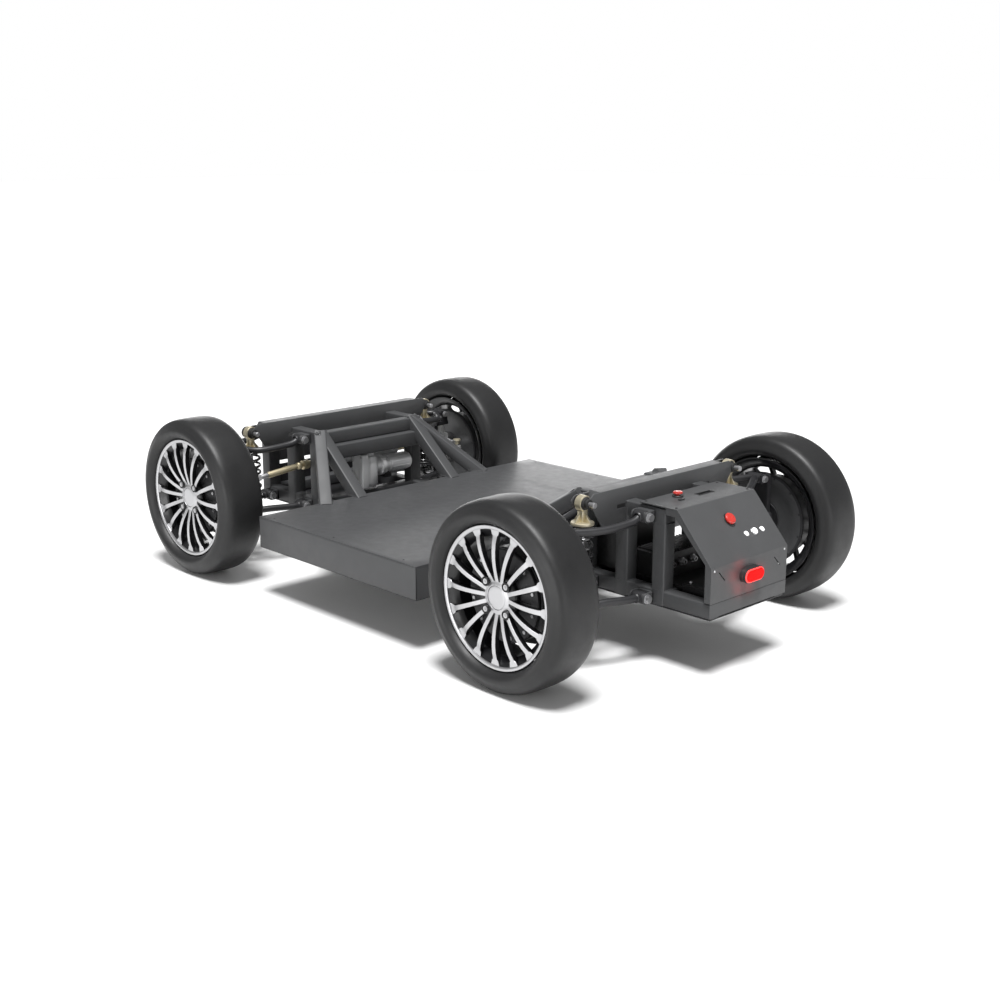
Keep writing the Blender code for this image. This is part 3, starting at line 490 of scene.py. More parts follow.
def rim(axle, side, label):
    """A black barrel and hub with a bright ring, sixteen bright spokes, a hub disc and four lug bolts."""
    piece = Piece()
    barrel = mm((182.2, 479), (177, 479.8), (169, 486), (165, 499), (164, 540), (165.5, 576), (174, 591.5),
                (182.3, 597.5), (182.2, 599.2), (174.5, 599), (169, 594.5), (163, 590), (156, 585),
                (151.5, 578), (151.5, 500), (160, 488.5), (172, 479.3), (180, 478.2))
    piece.add(wheel_ring(axle, side, barrel), WHEEL_BLACK)
    bright_ring = mm((182.4, 599.4), (182.4, 601.8), (181.2, 603.5), (177.5, 603.7), (174.2, 602.8),
                     (172.2, 600.8), (172.2, 597.5), (176, 598.5))
    piece.add(wheel_ring(axle, side, bright_ring), SILVER)
    hub = mm((0, 576), (64, 577), (64.8, 586), (61.5, 590.5), (38, 592.5), (0, 592.5))
    collar = mm((45.5, 587), (45, 591.2), (40, 592.8), (35.2, 593.8), (33, 595), (31, 595), (30.3, 593),
                (30.3, 587))
    disc = mm((0, 595), (20, 594.9), (27, 594.6), (29.4, 593.8), (29.8, 592.5), (0, 592.5))
    for profile, finish in ((hub, WHEEL_BLACK), (collar, SILVER), (disc, SILVER)):
        piece.add(wheel_ring(axle, side, profile, 64), finish)
    for number in range(16):
        at_lug = number % 4 == 2
        shape, bright = spoke(axle, side, tau * number / 16, 0.0599 if at_lug else 0.0)
        piece.add(shape, WHEEL_BLACK, SILVER, bright)
    for number in range(4):
        angle = pi / 4 + pi / 2 * number
        def at_bolt(y):
            return wheel_point(axle, side, LUG_RADIUS, angle, y)
        cup = mm((8.8, 590.5), (9.2, 597.5), (10, 599), (11.8, 599), (12.6, 597), (12.6, 590.5))
        piece.add(lathe([(r, side * y) for r, y in cup], at_bolt(0), (0, 1, 0), 32), WHEEL_BLACK)
        piece.add(hexagon(at_bolt(0.5910), at_bolt(0.5985), 0.0138, 0.003), SILVER)
        piece.add(rod(at_bolt(0.5980), at_bolt(0.6002), 0.0036, 16, chamfer=0.0010), STEEL)
    valve = [wheel_point(axle, side, radius, radians(100), y) for radius, y in mm((166, 586), (152, 593.5))]
    piece.add(rod(*valve, 0.0030, 12), DARK_PLASTIC)
    return piece.finish(f"{label}_rim_alloy", f"{label}_wheel", "rim_silver", [f"{label}_rim"],
                        (axle, side * TYRE_MIDDLE, WHEEL_Z))


def motor_shell(axle, side, label):
    """The in-wheel motor: ribbed outer cover, smooth rim and a bolted inner cover with dark blocks at its rim that
    paint the shade of notches.
    """
    piece = Piece()
    shell = mm((30, 491.2), (48, 491.2), (49.5, 490.2), (52.5, 490.2), (54, 491.6), (103, 491.6),
               (104.5, 490.3), (134, 490.3), (137, 491.5), (137.5, 496.5), (135, 498.5), (121, 500),
               (119.8, 507), (119.8, 556), (118, 557.5), (118, 561.5), (119.6, 563), (119, 569), (116, 571.2),
               (60, 574), (58, 574.4), (12, 574.4), (12, 569), (112, 568), (112, 497), (30, 497))
    piece.add(wheel_ring(axle, side, shell), MOTOR)
    cover = mm((56, 491.8), (56, 490.8), (101, 490.8), (102, 490.2), (130, 490.2), (131, 491.8))
    piece.add(wheel_ring(axle, side, cover), PANEL)

    def at(radius, angle, y, across=0.0):
        return wheel_point(axle, side, radius, angle, y) + Vector((-sin(angle), 0, cos(angle))) * across
    for number in range(12):
        angle = tau * (number + 0.5) / 12
        piece.add(hexagon(at(0.1270, angle, 0.4905), at(0.1270, angle, 0.4901), 0.0060, 0.0001), DARK_PLASTIC)
        # Each notch is a dark block across the cover's rim rather than a cut: its darkness is painted shade.
        notch_shade = [at(radius, angle, y, a)
                 for radius in (0.1310, 0.1380) for a in (-0.0032, 0.0032) for y in (0.4901, 0.4970)]
        piece.add((notch_shade, BOX_FACES), DARK_PLASTIC)
        piece.add(hexagon(at(0.1060, angle, 0.5700), at(0.1060, angle, 0.5742), 0.0088, 0.0008), STEEL)
    for number in range(24):
        angle = tau * number / 24
        rib = [[at(radius, angle, y, a)
                for a, y in ((-0.0016, top), (0.0016, top), (0.0022, 0.5700), (-0.0022, 0.5700))]
               for radius, top in mm((64, 574.3), (96, 574.1), (100, 572.2))]
        piece.add(loft(rib), MOTOR)
    return piece.finish(f"{label}_motor_housing", f"{label}_wheel", "motor_black", [f"{label}_motor_shell"],
                        (axle, side * TYRE_MIDDLE, WHEEL_Z))


# ---------------------------------------------------------------- suspension
def arm(axle, end, side, label, which):
    """A wishbone of two bent tubes between its bushes and the carrier's sleeve; the lower one holds the pin."""
    lower = which == "lower_arm"
    pivot_z = LOWER_Z if lower else UPPER_Z
    lift = 0.0 if lower else -0.022
    pivot_y, outer_z, spring_y = PIVOT_Y[end], pivot_z - ARM_DROP, EYE_Y[end]
    piece = Piece()
    for leg in LEG_X:
        x = axle + leg
        sign = -1 if leg < 0 else 1
        waist = axle + SPRING_X + sign * ARM_WAIST[which]
        path = smooth_path([
            (x, side * (pivot_y + 0.006), pivot_z),
            (x - sign * 0.004, side * (pivot_y + 0.040), pivot_z + 0.6 * lift),
            (waist, side * (spring_y + (0.006 if lower else 0.010)), pivot_z + lift),
            (axle + sign * 0.015, side * (OUTER_Y - 0.030), outer_z + 0.001),
            (axle + sign * 0.007, side * (OUTER_Y - 0.008), outer_z)], 7)
        piece.add(sweep(path, 0.0105, 16), ARM_BLACK)
        ring = (x, side * pivot_y, pivot_z)
        shell = mirrored(mm((12.5, -17), (15, -17), (15.8, -16)))
        piece.add(lathe(shell, ring, (1, 0, 0), 32), ARM_BLACK)
        rubber = mirrored(mm((10.8, -17.8), (12, -18.6), (13.8, -18.6), (14.6, -17.2)))
        piece.add(lathe(rubber, ring, (1, 0, 0), 32), BUSH_RUBBER)
        piece.add(lathe(mirrored(mm((8.6, -19.5), (11, -19.5))), ring, (1, 0, 0), 24), STEEL)
        root = Vector((x, side * (pivot_y + 0.0150), pivot_z))
        collar = mm((10, 0), (12.8, 0), (13.2, 1.5), (11.2, 4.5), (10, 4.5))
        piece.add(lathe(collar, root, (0, side, 0), 24), ARM_BLACK)
    sleeve = mirrored(mm((9.2, -21.8), (13.6, -21.8), (14.4, -20.8)))
    piece.add(lathe(sleeve, (axle, side * OUTER_Y, outer_z), (1, 0, 0), 32), ARM_BLACK)
    if lower:
        def on_pin(along):
            return (axle + SPRING_X + along, side * spring_y, pivot_z)
        piece.add(rod(on_pin(-0.060), on_pin(0.060), 0.0073, 20), STEEL)
        for sign in (-1, 1):
            piece.add(hexagon(on_pin(sign * 0.046), on_pin(sign * 0.039), 0.0180), STEEL)
    body = f"{label}_{which}"
    return piece.finish(f"{body}_tubes", body, "arm_black", [body])


def damper_eye(axle, end, side, label):
    """A plated eye round a rubber bush, on a square stem with ribs down to the spring's top seat."""
    x, y, z, seat_z = axle + SPRING_X, side * EYE_Y[end], EYE_Z[end], SEAT_Z[end]
    piece = Piece()
    eye = mirrored(mm((17.2, -10.4), (19.6, -10.4), (20.6, -9.4)))
    piece.add(lathe(eye, (x, y, z), (1, 0, 0), 56), GOLD)
    bush = mirrored(mm((10, -15.2), (12.8, -15.2), (15, -13.6), (17.1, -10.8)))
    piece.add(lathe(bush, (x, y, z), (1, 0, 0), 48), BUSH_RUBBER)
    piece.add(lathe(mirrored(mm((7, -15.4), (9.9, -15.4))), (x, y, z), (1, 0, 0), 32), STEEL)
    low, high = seat_z + 0.0060, z - 0.0190
    piece.add(block((x - 0.0088, y - 0.0102, low), (x + 0.0088, y + 0.0102, high), 0.0016), GOLD)
    for turn in range(4):
        out = Vector((cos(pi / 2 * turn), sin(pi / 2 * turn), 0))
        thick = Vector((-out.y, out.x, 0)) * 0.0018
        centre = Vector((x, y, 0))
        corners = ((0.0080, low), (0.0285, low), (0.0285, low + 0.0016), (0.0096, high - 0.0060),
                   (0.0080, high - 0.0060))
        rib = [[centre + out * r + sign * thick + Vector((0, 0, h)) for r, h in corners] for sign in (-1, 1)]
        piece.add(bevelled(*loft(rib), 0.0005, 1), GOLD)
    seat = mm((0, 8), (20, 8), (27, 7.8), (29.8, 6.4), (30.8, 4), (30.8, 0.4), (29.6, 0.1), (0, 0.1))
    piece.add(lathe(seat, (x, y, seat_z), (0, 0, 1), 64), GOLD)
    piece.add(rod((x, y, 0.236), (x, y, seat_z + 0.003), 0.0058, 20), STEEL)
    bump_stop = mm((6.2, -0.5), (15, -0.5), (15.8, -5), (13.8, -8), (15, -11), (13, -14), (6.2, -14.5))
    piece.add(lathe(bump_stop, (x, y, seat_z), (0, 0, 1), 28), BUSH_RUBBER)
    return piece.finish(f"{label}_damper_top", "chassis", "zinc_gold", [f"{label}_damper_eye"])


def damper_tube(axle, end, side, label):
    """The damper's body with the spring's lower seat, two lock rings and the lower eye."""
    x, y = axle + SPRING_X, side * EYE_Y[end]
    piece = Piece()
    body = mm((6.8, 304.8), (12, 304.8), (13.5, 303.5), (17.6, 302.5), (18, 301), (18, 220), (18.6, 219),
              (18.6, 216.5), (18, 215), (18, 200), (16, 196), (12, 193), (0, 192.5), (0, 200), (6.8, 201))
    piece.add(lathe(body, (x, y, 0), (0, 0, 1), 40), SPRING_BLACK)
    seat = mm((17.8, 215.8), (32, 215.8), (33.6, 214.5), (33.8, 208.5), (32.6, 208.2), (30, 211), (17.8, 210))
    piece.add(lathe(seat, (x, y, 0), (0, 0, 1), 48), ARM_BLACK)
    for z in (0.2040, 0.2070):
        nut = mm((17.8, -1.2), (20.6, -1.2), (21, 0), (20.6, 1.2), (17.8, 1.2))
        piece.add(lathe(nut, (x, y, z), (0, 0, 1), 40), STEEL)
    eye = mirrored(mm((11.6, -10.5), (14.8, -10.5), (15.3, -9.8)))
    piece.add(lathe(eye, (x, y, LOWER_Z), (1, 0, 0), 32), ARM_BLACK)
    return piece.finish(f"{label}_damper_body", f"{label}_damper_tube", "steel", [f"{label}_damper_tube"])


def coil(axle, end, side, label):
    """The spring: closed turns at both ends, between the damper's two seats."""
    x, y = axle + SPRING_X, side * EYE_Y[end]
    wire, radius, turns, per_turn = 0.0044, 0.0262, 7.2, 28
    low, high = 0.2163 + wire, SEAT_Z[end] - 0.0003 - wire
    count = int(turns * per_turn)
    path = []
    for i in range(count + 1):
        share = i / count
        lead = min(1.0, max(0.0, (share * turns - 0.6) / (turns - 1.2)))
        angle = tau * i / per_turn
        path.append((x + radius * cos(angle), y + side * radius * sin(angle), low + (high - low) * lead))
    piece = Piece().add(sweep(path, wire, 10), SPRING_BLACK)
    made = piece.finish(f"{label}_coil", None, "steel", [f"{label}_spring"], sharp=60)
    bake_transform(made)
    return made


def carrier_pins(axle, side, label):
    """Bright nuts and heads on the two pins of a wheel carrier."""
    piece = Piece()
    for z in (LOWER_Z - ARM_DROP, UPPER_Z - ARM_DROP):
        for sign in (-1, 1):
            start, washer, end = [(axle + sign * x, side * OUTER_Y, z) for x in (0.0297, 0.0309, 0.0377)]
            piece.add(rod(start, washer, 0.0108, 28, chamfer=0.0003), STEEL)
            piece.add(hexagon(washer, end, 0.0165), STEEL)
    return piece.finish(f"{label}_carrier_nuts", f"{label}_carrier", "steel")


def corner(end, axle, name, side):
    label = f"{end}_{name}"
    tyre(axle, side, label)
    rim(axle, side, label)
    motor_shell(axle, side, label)
    arm(axle, end, side, label, "lower_arm")
    arm(axle, end, side, label, "upper_arm")
    damper_eye(axle, end, side, label)
    damper_tube(axle, end, side, label)
    coil(axle, end, side, label)
    carrier_pins(axle, side, label)


# ---------------------------------------------------------------- frames and beams
def arm_bracket(piece, side, x, pivot_y, z, rail_y):
    """A folded U bracket on the post, with the big hexagon bolt through it."""
    inner, outer = 0.0198, 0.0250
    for sign in (-1, 1):
        a, b = sorted((x + sign * inner, x + sign * outer))
        half = mirrored([(rail_y - 0.004, -0.0150), (pivot_y + 0.006, -0.0150), (pivot_y + 0.0125, -0.0105),
                         (pivot_y + 0.0150, -0.0030)])
        piece.add(plate([(side * y, z + rise) for y, rise in half], 0, a, b, 0.0006, 1), PAINT)
    low, high = (x - outer, side * (rail_y - 0.002), z - 0.0150), (x + outer, side * (rail_y + 0.0035), z + 0.0150)
    piece.add(block(low, high, 0.0006), PAINT)
    if z > LOWER_Z:
        piece.add(block((x - inner - 0.001, side * rail_y, z + 0.0130),
                        (x + inner + 0.001, side * (pivot_y - 0.0050), z + 0.0153), 0.0005), PAINT)

    def on_bolt(along):
        return (x + along, side * pivot_y, z)
    piece.add(rod(on_bolt(-outer), on_bolt(-outer - 0.0016), 0.0130, 32, chamfer=0.0003), STEEL)
    piece.add(hexagon(on_bolt(-outer - 0.0016), on_bolt(-outer - 0.0088), 0.0190, 0.0016), STEEL)
    piece.add(hexagon(on_bolt(outer), on_bolt(outer + 0.0050), 0.0165, 0.0012), STEEL)
    piece.add(rod(on_bolt(-outer), on_bolt(outer + 0.0068), 0.0070, 20), STEEL)


def frame_side(piece, end, axle, side):
    """One side of a frame: three posts, the rails, their welds and the wishbones' brackets."""
    outer = POST_Y[end]
    middle = side * (outer - TUBE / 2)
    first, last = axle + POST_X[0] - TUBE / 2 + 0.001, axle + POST_X[-1] + TUBE / 2 - 0.001
    for post in POST_X:
        x = axle + post
        top = NOSE_TOP - 0.0006 if end == "front" and post == POST_X[-1] else 0.4170
        piece.add(square_tube((x, middle, 0.1605), (x, middle, top), TUBE), PAINT)
        for z in (0.2003, 0.3777):
            for edge in (-1, 1):
                reach = x + edge * (TUBE / 2 + 0.0004)
                piece.add(weld((reach, side * (outer - 0.036), z), (reach, side * (outer - 0.006), z)), PAINT)
            face = side * (outer - 0.0008)
            piece.add(weld((x - 0.017, face, z), (x + 0.017, face, z), 0.0014), PAINT)
    step = axle + 0.0150 if end == "front" else last
    piece.add(square_tube((first, middle, 0.398), (step, middle, 0.398), TUBE - 0.002, 0.040), PAINT)
    if end == "front":
        piece.add(square_tube((step - 0.004, middle, 0.393), (last, middle, 0.393), TUBE - 0.002, 0.030), PAINT)
    rail = (DECK_X + 0.0003, last) if end == "front" else (-1.0035, -DECK_X - 0.0003)
    piece.add(square_tube((rail[0], middle, 0.180), (rail[1], middle, 0.180), TUBE - 0.003, 0.040), PAINT)
    for leg in LEG_X:
        for z in (LOWER_Z, UPPER_Z):
            arm_bracket(piece, side, axle + leg, PIVOT_Y[end], z, outer)


def leg_bar(end, side, foot_y, width, sole_z):
    """One leg of the inverted V: its sole and top outlines, and the shape between them."""
    toward = 1 if end == "front" else -1
    apex_x = AXLE_X + POST_X[0] if end == "front" else -AXLE_X + POST_X[2]
    foot = Vector((toward * LEG_FOOT_X, side * foot_y, DECK_TOP))
    apex = Vector((apex_x, side * LEG_APEX_Y[end], LEG_APEX_Z))
    down = (foot - apex).normalized()
    u, v = axis_frame(apex - foot)
    top = [apex + a * u + b * v for a, b in rounded_section(width, width, 0.0040)]
    sole = [start + down * ((start.z - sole_z) / -down.z) for start in top]
    return sole, loft([sole, top])


def deck_legs(piece, end, side):
    """The inverted V, standing on the tray's rim through notches in the cover, with weld all round."""
    for foot_y in LEG_FOOT_Y:
        piece.add(leg_bar(end, side, foot_y, 0.0390, 0.2404)[1], PAINT)
        rim = leg_bar(end, side, foot_y, 0.0390, DECK_TOP + 0.0008)[0]
        for k in range(len(rim)):
            a, b = rim[k], rim[(k + 1) % len(rim)]
            if (b - a).length > 0.01:
                piece.add(weld(a, b, 0.0020), PAINT)


def frame_body(end, axle):
    """A whole welded frame: both sides, the legs and the cross tubes."""
    piece = Piece()
    half = POST_Y[end] - 0.004
    for _, side in SIDES:
        frame_side(piece, end, axle, side)
        deck_legs(piece, end, side)
    deck_post = axle + (POST_X[0] if end == "front" else POST_X[2])
    toward = -1 if end == "front" else 1
    for post in (POST_X[0], POST_X[2]):
        x = axle + post
        piece.add(square_tube((x, -half, 0.180), (x, half, 0.180), 0.039, 0.036), PAINT)
    piece.add(square_tube((deck_post, -half, 0.3945), (deck_post, half, 0.3945), 0.039, 0.041), PAINT)
    x = deck_post + toward * 0.023
    piece.add(square_tube((x, -half + 0.002, 0.3498), (x, half - 0.002, 0.3498), 0.042, 0.0475), PAINT)
    for _, side in SIDES:
        inner = side * (POST_Y[end] - TUBE - 0.0004)
        for post in (POST_X[0], POST_X[2]):
            x = axle + post
            piece.add(weld((x - 0.017, inner, 0.1985), (x + 0.017, inner, 0.1985)), PAINT)
        x = deck_post + toward * 0.0440
        piece.add(weld((x, inner, 0.332), (x, inner, 0.364)), PAINT)
    piece.finish(f"{end}_frame_tubes", "chassis", "tube_paint", [f"{end}_frame"])


def beam_body(end, axle):
    """A folded channel: deep rear wall reaching out to the dampers, wide flat top, short slanted ends."""
    low, high = BEAM_Z[end]
    rear, front = axle - 0.028, axle + 0.015
    half, wall = BEAM_HALF[end], 0.004
    tip, corner_y, foot = EYE_Y[end] + 0.0018, EYE_Y[end] - 0.0215, EYE_Y[end] - 0.055
    arrow = [(-tip, high - 0.015), (-corner_y, high), (corner_y, high), (tip, high - 0.015), (foot, low),
             (-foot, low)]
    slots = []
    for y in (-0.62 * half, 0.62 * half):
        slots.append(plate([(y - 0.020, high - 0.055), (y + 0.020, high - 0.055), (y + 0.020, high - 0.043),
                            (y - 0.020, high - 0.043)], 0, rear - 0.01, rear + 0.010, 0))
    wall_piece = Piece().add(plate(arrow, 0, rear, rear + 0.0037, 0.0012), PANEL)
    wall_piece.finish(f"{end}_beam_wall", "chassis", "cover_paint", [f"{end}_beam"], tools=slots)
    piece = Piece()
    bend = 0.004
    section = [(rear + 0.0030, high - wall), (rear + 0.0030, high - 0.0008)]
    for k in range(6):
        angle = pi / 2 * k / 5
        section.append((front - bend + bend * sin(angle), high - bend + bend * cos(angle)))
    lip = front - wall + 0.001
    section += [(front, high - 0.0160), (lip, high - 0.0160), (lip, high - wall)]
    inner_half = half - 0.0245
    piece.add(loft([[Vector((x, y, z)) for x, z in section] for y in (-inner_half, inner_half)]), PANEL)
    for side in (-1, 1):
        a = Vector((0, side * (half - 0.0245), high))
        b = Vector((0, side * half, high - 0.040))
        inward = Vector((0, -(b - a).z, (b - a).y)).normalized() * wall
        if inward.z > 0:
            inward = -inward
        corners = [a, b, b + inward, a + inward]
        piece.add(plate([(c.y, c.z) for c in corners], 0, rear + 0.001, front, 0.0010), PANEL)
    saddle, floor = POST_Y[end], 0.4183
    for side in (-1, 1):
        low_end = (rear + 0.004, side * (saddle - TUBE), floor)
        piece.add(block(low_end, (front - 0.002, side * saddle, high - 0.002), 0.0010), PANEL)
        spring = axle + SPRING_X
        eye_y, eye_z = side * EYE_Y[end], EYE_Z[end]
        ear, ear_face, ear_low = spring + 0.019, spring + 0.024, eye_z - 0.0175
        for inner, outer, ear_top in ((side * (half - 0.060), side * (half - 0.026), high - 0.003),
                                      (side * (half - 0.030), eye_y, eye_z + 0.0175)):
            piece.add(block((ear, inner, ear_low), (ear_face, outer, ear_top), 0.0006), PANEL)

        def stud(start, stop, radius, sides, finish, chamfer=0.0008):
            piece.add(rod((spring + start, eye_y, eye_z), (spring + stop, eye_y, eye_z), radius, sides,
                          chamfer=chamfer), finish)
        stud(0.019, 0.024, 0.0177, 32, PANEL)
        stud(-0.0420, 0.0335, 0.0066, 24, STEEL, 0.0016)
        stud(-0.0240, -0.0160, 0.0130, 32, BUSH_RUBBER, 0.0010)
        stud(-0.0435, -0.0330, 0.0076, 32, STEEL, 0.0014)
        piece.add(hexagon((spring + 0.0243, eye_y, eye_z), (spring + 0.0320, eye_y, eye_z), 0.0175), STEEL)
    piece.finish(f"{end}_beam_channel", "chassis", "cover_paint")


# ---------------------------------------------------------------- deck
def deck():
    """The tray, the sheets under both frames, the front sheet with its slit, and the cover with its screws."""
    sheet = 0.003
    top = DECK_TOP - sheet - 0.0003
    piece = Piece()
    piece.add(block((-DECK_X, -DECK_Y, DECK_BOTTOM), (DECK_X, DECK_Y, DECK_BOTTOM + sheet), 0.0012), DECK_PAINT)
    for sign in (-1, 1):
        piece.add(block((sign * DECK_X, -DECK_Y, DECK_BOTTOM), (sign * (DECK_X - sheet), DECK_Y, top), 0.0012),
                  DECK_PAINT)
        piece.add(block((-DECK_X, sign * DECK_Y, DECK_BOTTOM), (DECK_X, sign * (DECK_Y - sheet), top), 0.0012),
                  DECK_PAINT)
    nose = AXLE_X + POST_X[-1] + TUBE / 2 + 0.0003
    pan_low = PAN_TOP - sheet
    front_half, rear_half = POST_Y["front"] - 0.002, POST_Y["rear"] - 0.002
    # The sheets under both frames take the satin black, darker than the frame paint, to paint the shade inside the
    # frames.
    for start, end, half in ((DECK_X - 0.002, nose + 0.001, front_half), (-1.003, -DECK_X + 0.002, rear_half)):
        piece.add(block((start, -half, pan_low), (end, half, PAN_TOP), 0.0008), ARM_BLACK)
    piece.finish("deck_tray_sheet", "chassis", "frame_paint", ["deck_tray"])
    panel = Piece()
    # The front sheet is satin black as well, darker than the frame paint: painted shade inside the front frame.
    panel.add(block((nose, -front_half, pan_low), (nose + sheet, front_half, PANEL_TOP), 0.0008), ARM_BLACK)
    slit = plate(mm((-175, 258), (175, 258), (175, 270), (-175, 270)), 0, nose - 0.01, nose + 0.01, 0)
    panel.finish("front_panel_sheet", "chassis", "frame_paint", tools=[slit])
    cover = Piece()
    cover.add(block((-DECK_X, -DECK_Y, DECK_TOP - sheet), (DECK_X, DECK_Y, DECK_TOP), 0.0013, 3), DECK_PAINT)
    sinks = [leg_bar(end, side, foot_y, 0.040, 0.200)[1] for end in ("front", "rear") for side in (-1, 1)
             for foot_y in LEG_FOOT_Y]
    screws = Piece()
    screw = mm((1.2, -1.7), (3.4, -1.7), (3.5, -0.6), (3, -0.1), (1.7, -0.1), (1.5, -1), (0, -1), (0, -1.7))
    for x in (-0.284, 0.020, 0.305):
        for y in (-0.545, 0.545):
            sinks.append(rod((x, y, DECK_TOP - 0.0018), (x, y, DECK_TOP + 0.002), 0.0038, 24, chamfer=0.0002))
            screws.add(lathe(screw, (x, y, DECK_TOP), (0, 0, 1), 24), DARK_PLASTIC)
    cover.finish("deck_cover_plate", "chassis", "cover_paint", ["deck_cover"], tools=sinks)
    screws.finish("deck_screws", "chassis", "cover_paint")


# ---------------------------------------------------------------- steering
STEER_X, MOTOR_Z, SCREW_RADIUS, RIB_RADIUS = 0.545, 0.272, 0.0292, 0.0286


def steering_unit():
    """The steering motor and gearbox, cast in one colour, on the rack's tube."""
    x = STEER_X
    piece = Piece()
    gear = mm((0, 205.5), (21.5, 205.5), (22.5, 206.5), (22.5, 215), (27, 216.5), (27.8, 218), (27.8, 285),
              (26.2, 289), (26.2, 301), (23.5, 308), (18, 311.5), (15.8, 312.5), (15.8, 325), (0, 325))
    piece.add(lathe(gear, (x, -0.004, 0), (0, 0, 1), 56), CAST)
    piece.add(block((x - 0.0275, 0.0185, 0.2070), (x + 0.0275, 0.0455, 0.3210), 0.0035, 3), CAST)
    piece.add(block((x - 0.0240, -0.010, 0.2180), (x + 0.0240, 0.0200, 0.3060), 0.0030, 3), CAST)
    motor = mm((0, -168), (24, -168), (27.5, -165.5), (28.8, -160), (28.8, -82), (30, -81), (30, -76),
               (27.2, -75), (27.2, -57), (33.5, -54.5), (33.5, -41), (26, -38.5), (23, -22), (0, -22))
    piece.add(lathe(motor, (x, 0, MOTOR_Z), (0, 1, 0), 56), CAST)

    def round_motor(radius, degrees, y):
        return Vector((x + radius * cos(radians(degrees)), y, MOTOR_Z + radius * sin(radians(degrees))))
    for turn in range(40, 360, 90):
        boss, boss_end, head, head_end = [round_motor(SCREW_RADIUS, turn, y)
                                          for y in (-0.0585, -0.0390, -0.0580, -0.0625)]
        piece.add(rod(boss, boss_end, 0.0050, 20), CAST)
        piece.add(hexagon(head, head_end, 0.0070, 0.0006), STEEL)
    for turn in range(15, 360, 30):
        piece.add(sweep([round_motor(RIB_RADIUS, turn, y) for y in (-0.156, -0.086)], 0.0011, 6), CAST)
    piece.add(block((x - 0.0155, -0.0875, 0.2285), (x + 0.0155, -0.0585, 0.2550), 0.0030, 3), DARK_PLASTIC)
    for z in (0.2350, 0.2480):
        piece.add(sweep([(x - 0.0150, -0.073, z), (x + 0.0150, -0.073, z)], 0.0012, 8), DARK_PLASTIC)
    piece.add(block((x + 0.002, -0.0235, RACK_Z - 0.0155), (RACK_X, 0.0295, RACK_Z + 0.0115), 0.0030, 3), CAST)
    housing = mirrored(mm((11.8, -160), (18, -160), (19, -159), (19, -148), (17.2, -146), (17.2, -36),
                          (18.8, -33)))
    piece.add(lathe(housing, (RACK_X, 0, RACK_Z), (0, 1, 0), 48), CAST)
    for z in (0.2150, 0.3130):
        for dx in (-0.020, 0.020):
            piece.add(hexagon((x + dx, 0.0452, z), (x + dx, 0.0460, z), 0.0080, 0.0004), STEEL)
    for dx in (-0.019, 0.019):
        piece.add(hexagon((x + dx, -0.004, 0.2120), (x + dx, -0.004, 0.2060), 0.0080, 0.0008), STEEL)
    piece.finish("steering_gear", "chassis", "cast_grey", ["steering_unit"])


def tie_rod(name, side):
    """A tie rod from the ball at the rack to the joint at the steering arm, with its lock nut and thread."""
    pivot = PIVOT_Y["front"]
    ball = Vector((RACK_X, side * pivot, RACK_Z))
    outer = Vector((RACK_X, side * OUTER_Y, RACK_Z - ARM_DROP))
    direction = (outer - ball).normalized()
    piece = Piece()
    knob = [(0.0, -0.0126)] + [(0.0126 * cos(radians(a)), 0.0126 * sin(radians(a))) for a in range(-75, 90, 15)]
    knob.append((0.0, 0.0126))
    piece.add(lathe(knob, ball, direction, 28), OLIVE)
    length = (outer - ball).length
    sleeve = [(0.0, 0.008), (0.0078, 0.008), (0.0090, 0.014), (0.0100, 0.020), (0.0100, length - 0.088),
              (0.0090, length - 0.084), (0.0, length - 0.082)]
    piece.add(lathe(sleeve, ball, direction, 32), OLIVE)
    tip = mm((0, -83), (7.8, -83), (7.8, -62), (6.6, -58), (6.6, -10), (0, -10))
    piece.add(lathe(tip, outer, direction, 32), STEEL)
    piece.add(hexagon(outer - direction * 0.056, outer - direction * 0.045, 0.0180), STEEL)
    for k in range(9):
        place = outer - direction * (0.0435 - 0.0026 * k)
        piece.add(lathe(mm((6, -0.9), (7, 0), (6, 0.9)), place, direction, 16), STEEL)
    z = outer.z
    joint = mm((0, -9.2), (8.5, -9.2), (9.8, -8.5), (11.2, -4), (13.6, 1), (13.8, 6), (12.5, 8.8), (8, 9.4),
               (0, 9.4))
    piece.add(lathe(joint, outer, (0, 0, 1), 32), GOLD)
    piece.finish(f"{name}_tie_rod_bar", f"{name}_tie_rod", "zinc_gold", [f"{name}_tie_rod"])


# ---------------------------------------------------------------- console
TOP_X, FOOT_X, TOP_Z, FOOT_Z, CONSOLE_HALF, SHEET = -0.893, -1.007, 0.425, 0.295, 0.160, 0.003
SLOPE_TOP = Vector((TOP_X, 0, TOP_Z))
SLOPE_DOWN = (Vector((FOOT_X, 0, FOOT_Z)) - SLOPE_TOP).normalized()
SLOPE_OUT = Vector((-0.130, 0, 0.114)).normalized()
ESTOP_X, ESTOP_Y = -0.805, 0.050
RECESS_X, RECESS_Y = (-0.836, -0.820), (-0.060, -0.002)
KNOB_DOWN, LIGHTS_DOWN, BUTTON_Y, LIGHT_Y = 0.062, 0.1115, -0.066, (-0.033, -0.100)
LAMP_Y, LAMP_Z, LAMP_STRAIGHT, LAMP_RADIUS = 0.004, 0.252, 0.021, 0.019


def on_slope(along, across, proud=0.0):
    return SLOPE_TOP + SLOPE_DOWN * along + Vector((0, across, 0)) + SLOPE_OUT * proud


